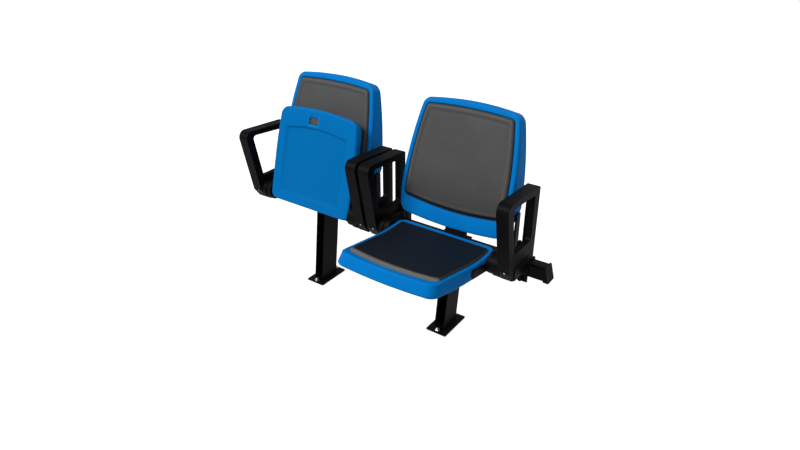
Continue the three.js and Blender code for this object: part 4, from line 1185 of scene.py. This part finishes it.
def repeated(node, entry, shape):
    """Ends a tree: the shape on every point, turned, made real and given its finish."""
    copies = node("GeometryNodeInstanceOnPoints",
                  {"Points": entry["Geometry"], "Instance": shape, "Rotation": entry["Turn"]})
    real = node("GeometryNodeRealizeInstances", {"Geometry": copies})
    painted = node("GeometryNodeSetMaterial", {"Geometry": real, "Material": entry["Finish"]})
    node("NodeGroupOutput", {"Geometry": painted})


def placed(node, geometry, radius=1.0, height=1.0, lift=0.0, turn=(0.0, 0.0, 0.0)):
    """A unit shape turned, brought to a radius and a height, and lifted."""
    scale = node("ShaderNodeCombineXYZ", {"X": radius, "Y": radius, "Z": height})
    rise = node("ShaderNodeCombineXYZ", {"Z": lift})
    return node("GeometryNodeTransform", {"Geometry": geometry, "Translation": rise, "Rotation": turn,
                                          "Scale": scale})


def unit_rod(node, sides, rings=1):
    """A rod of unit radius and height that stands on zero."""
    block = node("GeometryNodeMeshCylinder", {"Vertices": sides, "Side Segments": rings, "Radius": 1.0,
                                              "Depth": 1.0})
    return placed(node, block, lift=0.5)


def unit_nut(node):
    """A hexagon of unit radius and height whose upper corners are turned away by a cone."""
    cone = node("GeometryNodeMeshCone", {"Vertices": 48, "Radius Top": 0.88, "Radius Bottom": 1.6,
                                         "Depth": 1.2})
    hexagon = placed(node, unit_rod(node, 6), height=1.1)
    return node("GeometryNodeMeshBoolean", {"Mesh 2": [hexagon, placed(node, cone, lift=-0.2)]},
                operation="INTERSECT", solver="EXACT")


def anchor_tree():
    """A washer, a hexagon nut and the threaded end of a floor anchor."""
    tree, node, entry = new_tree("floor_anchor", "Washer radius", "Washer", "Nut radius", "Nut",
                                 "Stud radius", "Stud")
    washer = placed(node, unit_rod(node, 40), entry["Washer radius"], entry["Washer"])
    nut = placed(node, unit_nut(node), entry["Nut radius"], entry["Nut"], entry["Washer"])
    top = node("ShaderNodeMath", {0: entry["Washer"], 1: entry["Nut"]}, operation="ADD")
    end = node("ShaderNodeMath", {0: top, 1: entry["Stud"]}, operation="ADD")
    stud = placed(node, unit_rod(node, 24, 24), entry["Stud radius"], end)
    repeated(node, entry, node("GeometryNodeMeshBoolean", {"Mesh 2": [washer, nut, stud]},
                               operation="UNION", solver="EXACT"))
    return tree


def screw_tree():
    """A button head with a hexagon socket."""
    tree, node, entry = new_tree("button_screw", "Screw head", "Screw dome", "Socket")
    ball = node("GeometryNodeMeshUVSphere", {"Segments": 32, "Rings": 16})
    head = placed(node, ball, entry["Screw head"], entry["Screw dome"])
    # The socket's floor lies at 40 percent of the dome's height.
    floor = node("ShaderNodeMath", {0: entry["Screw dome"], 1: 0.4}, operation="MULTIPLY")
    socket = placed(node, unit_rod(node, 6), entry["Socket"], entry["Screw dome"], floor)
    repeated(node, entry, node("GeometryNodeMeshBoolean", {"Mesh 1": head, "Mesh 2": socket},
                               operation="DIFFERENCE", solver="EXACT"))
    return tree


def through_bolt_tree():
    """A hexagon bolt from its head's outer face, through its grip, to its nut and end."""
    tree, node, entry = new_tree("through_bolt", "Bolt head", "Bolt height", "Grip", "Bolt radius",
                                 "Bolt tail")
    under = node("ShaderNodeMath", {0: entry["Bolt height"], 1: entry["Grip"]}, operation="ADD")
    end = node("ShaderNodeMath", {0: under, 1: entry["Bolt tail"]}, operation="ADD")
    hexagon = unit_nut(node)
    turned = placed(node, hexagon, turn=(math.pi, 0, 0), lift=1.0)
    head = placed(node, turned, entry["Bolt head"], entry["Bolt height"])
    # The shank starts a little inside the head, so that no faces coincide.
    shank = placed(node, placed(node, unit_rod(node, 32), lift=0.02), entry["Bolt radius"], end)
    nut = placed(node, hexagon, entry["Bolt head"], entry["Bolt height"], under)
    repeated(node, entry, node("GeometryNodeMeshBoolean", {"Mesh 2": [head, shank, nut]},
                               operation="UNION", solver="EXACT"))
    return tree


def tube_tree():
    """A rectangular tube with round corners, from zero up its length."""
    tree, node, entry = new_tree("rectangular_tube", "Width", "Height", "Beam corner", "Beam wall",
                                 "Length")

    def loop(inset):
        """The section's outline, a share of its wall inside its outer face."""
        def drawn_back(size, times):
            return node("ShaderNodeMath", {0: entry["Beam wall"], 1: -inset * times, 2: entry[size]},
                        operation="MULTIPLY_ADD")

        sheet = node("GeometryNodeCurvePrimitiveQuadrilateral",
                     {"Width": drawn_back("Width", 2), "Height": drawn_back("Height", 2)})
        return node("GeometryNodeFilletCurve", {"Curve": sheet, "Count": 6,
                                                "Radius": drawn_back("Beam corner", 1)}, mode="POLY")

    loops = node("GeometryNodeJoinGeometry", {"Geometry": [loop(0.0), loop(1.0)]})
    section = node("GeometryNodeFillCurve", {"Curve": loops})
    drawn = node("GeometryNodeExtrudeMesh", {"Mesh": section, "Offset": (0, 0, 1),
                                             "Offset Scale": entry["Length"], "Individual": False})
    foot = node("GeometryNodeFlipFaces", {"Mesh": section})
    both_ends = node("GeometryNodeJoinGeometry", {"Geometry": [drawn, foot]})
    repeated(node, entry, node("GeometryNodeMergeByDistance",
                               {"Geometry": both_ends, "Distance": 0.01 * MM}))
    return tree


def named(starts):
    return [name for name in frame["nodes"] if name.startswith(starts)]


def grown(name, tree, kind, nodes, turn, spot, **sizes):
    """One plain mesh with a tree's shape on each node, at the spot that its box gives.

    An input that no size is given for takes the hardware setting of its own name.
    """
    hardware = settings().hardware
    boxes = [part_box(node) for node in nodes]
    mesh = bpy.data.meshes.new(name)
    mesh.from_pydata([spot(low, (low + high) / 2, high) for low, high in boxes], [], [])
    piece = new_object(name, mesh)
    coat(mesh, kind)
    sizes.update(turn=turn, finish=mesh.materials[0])
    modifier = piece.modifiers.new(tree.name, "NODES")
    modifier.node_group = tree
    for item in tree.interface.items_tree:
        setting = item.name.lower().replace(" ", "_")
        value = sizes.get(setting, getattr(hardware, setting, None))
        if item.in_out == "INPUT" and value is not None:
            modifier[item.identifier] = value
    baked(piece)
    shade_smooth(piece.data)
    settle(piece, kind, "root", *nodes)


def make_beam():
    size = BEAM_HIGH - BEAM_LOW
    grown("beam_tube", tube_tree(), "paint", ["beam"], (0, math.pi / 2, 0),
          lambda low, middle, high: (low.x, middle.y, middle.z), width=size.z, height=size.y, length=size.x)
    for node in named("beam_cap"):
        piece = tidy_copy(node, node + "_moulded")
        bevelled(piece, settings().hardware.plastic_edge)
        settle(piece, "nylon", "root", node)


def make_fasteners():
    hardware = settings().hardware
    rise = hardware.washer + hardware.nut + hardware.stud
    grown("anchors_zinc", anchor_tree(), "zinc", named("anchor_bolt"), (0, 0, 0),
          lambda low, middle, high: (middle.x, middle.y, high.z - rise))
    grown("armrest_screws_zinc", screw_tree(), "zinc", named("armrest_screw"), (math.pi / 2, 0, 0),
          lambda low, middle, high: (middle.x, low.y + hardware.screw_dome, middle.z))
    bolts = named("clamp_bolt")
    low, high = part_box(bolts[0])
    grown("clamp_bolts_painted", through_bolt_tree(), "paint", bolts, (-math.pi / 2, 0, 0),
          lambda low, middle, high: (middle.x, low.y, middle.z),
          grip=high.y - low.y - hardware.bolt_height - hardware.bolt_tail)


def make_tag(side):
    node, body = "tag_plate_" + side, "seat_" + side
    piece = moved_in(tidy_copy(node, node + "_moulded"), body, settings().pan.tag_sink)
    bevelled(piece, settings().hardware.paint_edge, 2)
    settle(piece, "tag", body, node)


def make_steel():
    starts = ("post_", "base_plate", "side_bracket", "clamp_plate", "back_upright", "back_strap")
    for node in named(starts):
        piece = tidy_copy(node, node + "_painted")
        bevelled(piece, settings().hardware.paint_edge, 2)
        settle(piece, "paint", "root", node)


# Stage

def make_camera():
    stage = settings().stage
    data = bpy.data.cameras.new("view")
    data.lens = stage.lens
    data.sensor_width = stage.sensor
    data.clip_end = 50
    camera = new_object("view", data)
    camera.location = PIVOTS["seat_right"] + Vector(stage.distance)
    camera.rotation_euler = (math.pi / 2 - stage.elevation, 0, stage.azimuth)
    bpy.context.scene.camera = camera


def seen_share(node):
    """1 where the surround is seen directly or through glass, less in a gloss."""
    path = node("ShaderNodeLightPath").outputs
    seen = node("ShaderNodeMath", {0: path["Is Camera Ray"], 1: path["Is Transmission Ray"]},
                operation="MAXIMUM")
    shone = node("ShaderNodeMath", {0: path["Is Glossy Ray"], 1: settings().stage.gloss_share},
                 operation="MULTIPLY")
    return node("ShaderNodeMath", {0: seen, 1: shone}, operation="MAXIMUM")


def make_floor():
    """A pale floor that turns into the white surround away from the seats."""
    stage = settings().stage
    shape = bmesh.new()
    bmesh.ops.create_circle(shape, cap_ends=True, segments=96, radius=stage.floor_radius)
    floor = made("studio_floor", shape)
    material, node, place = new_material("studio_floor")
    far = node("ShaderNodeVectorMath", {0: place}, operation="LENGTH").outputs["Value"]
    fade = node("ShaderNodeMapRange", {"Value": far, "From Min": stage.floor_near,
                                       "From Max": stage.floor_far, "To Min": stage.floor_lift,
                                       "To Max": 1.0}, interpolation_type="SMOOTHSTEP")
    lift = node("ShaderNodeMath", {0: seen_share(node), 1: fade}, operation="MULTIPLY")
    paper = node("ShaderNodeBsdfDiffuse", {"Color": settings().colours.floor})
    both = node("ShaderNodeAddShader", {0: paper, 1: node("ShaderNodeEmission", {"Strength": lift})})
    node("ShaderNodeOutputMaterial", {"Surface": both})
    floor.data.materials.append(material)


def make_world():
    world = bpy.data.worlds.new("studio")
    world.use_nodes = True
    world.node_tree.nodes.clear()
    node = partial(add_node, world.node_tree)
    strength = node("ShaderNodeMath", {0: seen_share(node), 1: settings().stage.ambient},
                    operation="MAXIMUM")
    surround = node("ShaderNodeBackground", {"Color": (1, 1, 1, 1), "Strength": strength})
    node("ShaderNodeOutputWorld", {"Surface": surround})
    bpy.context.scene.world = world


def make_lamp(name):
    """One of the two lamps, key or rear."""
    stage = settings().stage
    place, size, watts = (getattr(stage, name + part) for part in ("_place", "_size", "_power"))
    data = bpy.data.lights.new(name, "AREA")
    data.shape = "RECTANGLE"
    data.size, data.size_y = size
    data.energy = watts
    lamp = new_object(name, data)
    lamp.location = place
    lamp.rotation_euler = (Vector(stage.aim) - Vector(place)).to_track_quat("-Z", "Y").to_euler()


# Operators

class SEAT_OT_stage(Operator):
    """Sets the camera, the lamps and the white floor"""

    bl_idname = "stadium_seat.stage"
    bl_label = "Stage"

    def execute(self, context):
        make_camera()
        make_floor()
        make_world()
        make_lamp("key")
        make_lamp("rear")
        return {"FINISHED"}


class SEAT_OT_finishes(Operator):
    """Gives every CAD node its own finish, for the ones that stay"""

    bl_idname = "stadium_seat.finishes"
    bl_label = "Finishes"

    def execute(self, context):
        # The first finish that names a slot is the usual one for it.
        kinds = {FINISHES[kind][2]: kind for kind in reversed(FINISHES)}
        slots = {row["node"]: row["material_slot"] for row in frame["record"]["subparts"]}
        for name, node in frame["nodes"].items():
            coat(node.data, "tag" if name.startswith("tag_plate") else kinds[slots[name]])
        return {"FINISHED"}


class SEAT_OT_pans(Operator):
    """Moulds both seat pans"""

    bl_idname = "stadium_seat.pans"
    bl_label = "Seat Pans"

    def execute(self, context):
        for side in SIDES:
            make_pan(side)
        return {"FINISHED"}


class SEAT_OT_backs(Operator):
    """Moulds both back rests"""

    bl_idname = "stadium_seat.backs"
    bl_label = "Back Rests"

    def execute(self, context):
        for side in SIDES:
            make_back(side)
        return {"FINISHED"}


class SEAT_OT_cushions(Operator):
    """Forms the four cushions"""

    bl_idname = "stadium_seat.cushions"
    bl_label = "Cushions"

    def execute(self, context):
        for side in SIDES:
            make_seat_cushion(side)
            make_back_cushion(side)
        return {"FINISHED"}


class SEAT_OT_armrests(Operator):
    """Moulds the four armrests"""

    bl_idname = "stadium_seat.armrests"
    bl_label = "Armrests"

    def execute(self, context):
        for number in NUMBERS:
            make_armrest(number)
        return {"FINISHED"}


class SEAT_OT_hinges(Operator):
    """Moulds the hinge covers and the wing arms"""

    bl_idname = "stadium_seat.hinges"
    bl_label = "Hinges"

    def execute(self, context):
        for number in NUMBERS:
            make_hinge_cover(number)
            make_wing_arm(number)
        return {"FINISHED"}


class SEAT_OT_tags(Operator):
    """Moulds the bare tag plates under the pans"""

    bl_idname = "stadium_seat.tags"
    bl_label = "Tag Plates"

    def execute(self, context):
        for side in SIDES:
            make_tag(side)
        return {"FINISHED"}


class SEAT_OT_beam(Operator):
    """Draws the beam and moulds its caps"""

    bl_idname = "stadium_seat.beam"
    bl_label = "Beam"

    def execute(self, context):
        make_beam()
        return {"FINISHED"}


class SEAT_OT_fasteners(Operator):
    """Sets the floor anchors, the armrest screws and the clamp bolts"""

    bl_idname = "stadium_seat.fasteners"
    bl_label = "Fasteners"

    def execute(self, context):
        make_fasteners()
        return {"FINISHED"}


class SEAT_OT_steel(Operator):
    """Paints the steel and softens its cut edges"""

    bl_idname = "stadium_seat.steel"
    bl_label = "Steel"

    def execute(self, context):
        make_steel()
        return {"FINISHED"}


class SEAT_PT_panel(Panel):
    bl_label = "Stadium Seat"
    bl_idname = "SEAT_PT_panel"
    bl_space_type = "VIEW_3D"
    bl_region_type = "UI"
    bl_category = "Stadium Seat"

    def draw(self, context):
        for operator in OPERATORS:
            self.layout.operator(operator.bl_idname)


OPERATORS = (SEAT_OT_stage, SEAT_OT_finishes, SEAT_OT_pans, SEAT_OT_backs, SEAT_OT_cushions,
             SEAT_OT_armrests, SEAT_OT_hinges, SEAT_OT_tags, SEAT_OT_beam, SEAT_OT_fasteners,
             SEAT_OT_steel)
GROUPS = (SeatPanSettings, BackSettings, CushionSettings, ArmrestSettings, HingeSettings,
          HardwareSettings, ColourSettings, StageSettings, SeatSettings)
CLASSES = GROUPS + OPERATORS + (SEAT_PT_panel,)


def register():
    for item in CLASSES:
        bpy.utils.register_class(item)
    bpy.types.Scene.stadium_seat = PointerProperty(type=SeatSettings)


def unregister():
    del bpy.types.Scene.stadium_seat
    for item in reversed(CLASSES):
        bpy.utils.unregister_class(item)


def main():
    register()
    bpy.context.scene.view_settings.view_transform = "Standard"
    for operator in OPERATORS:
        module, name = operator.bl_idname.split(".")
        getattr(getattr(bpy.ops, module), name)()


if __name__ == "__main__":
    main()
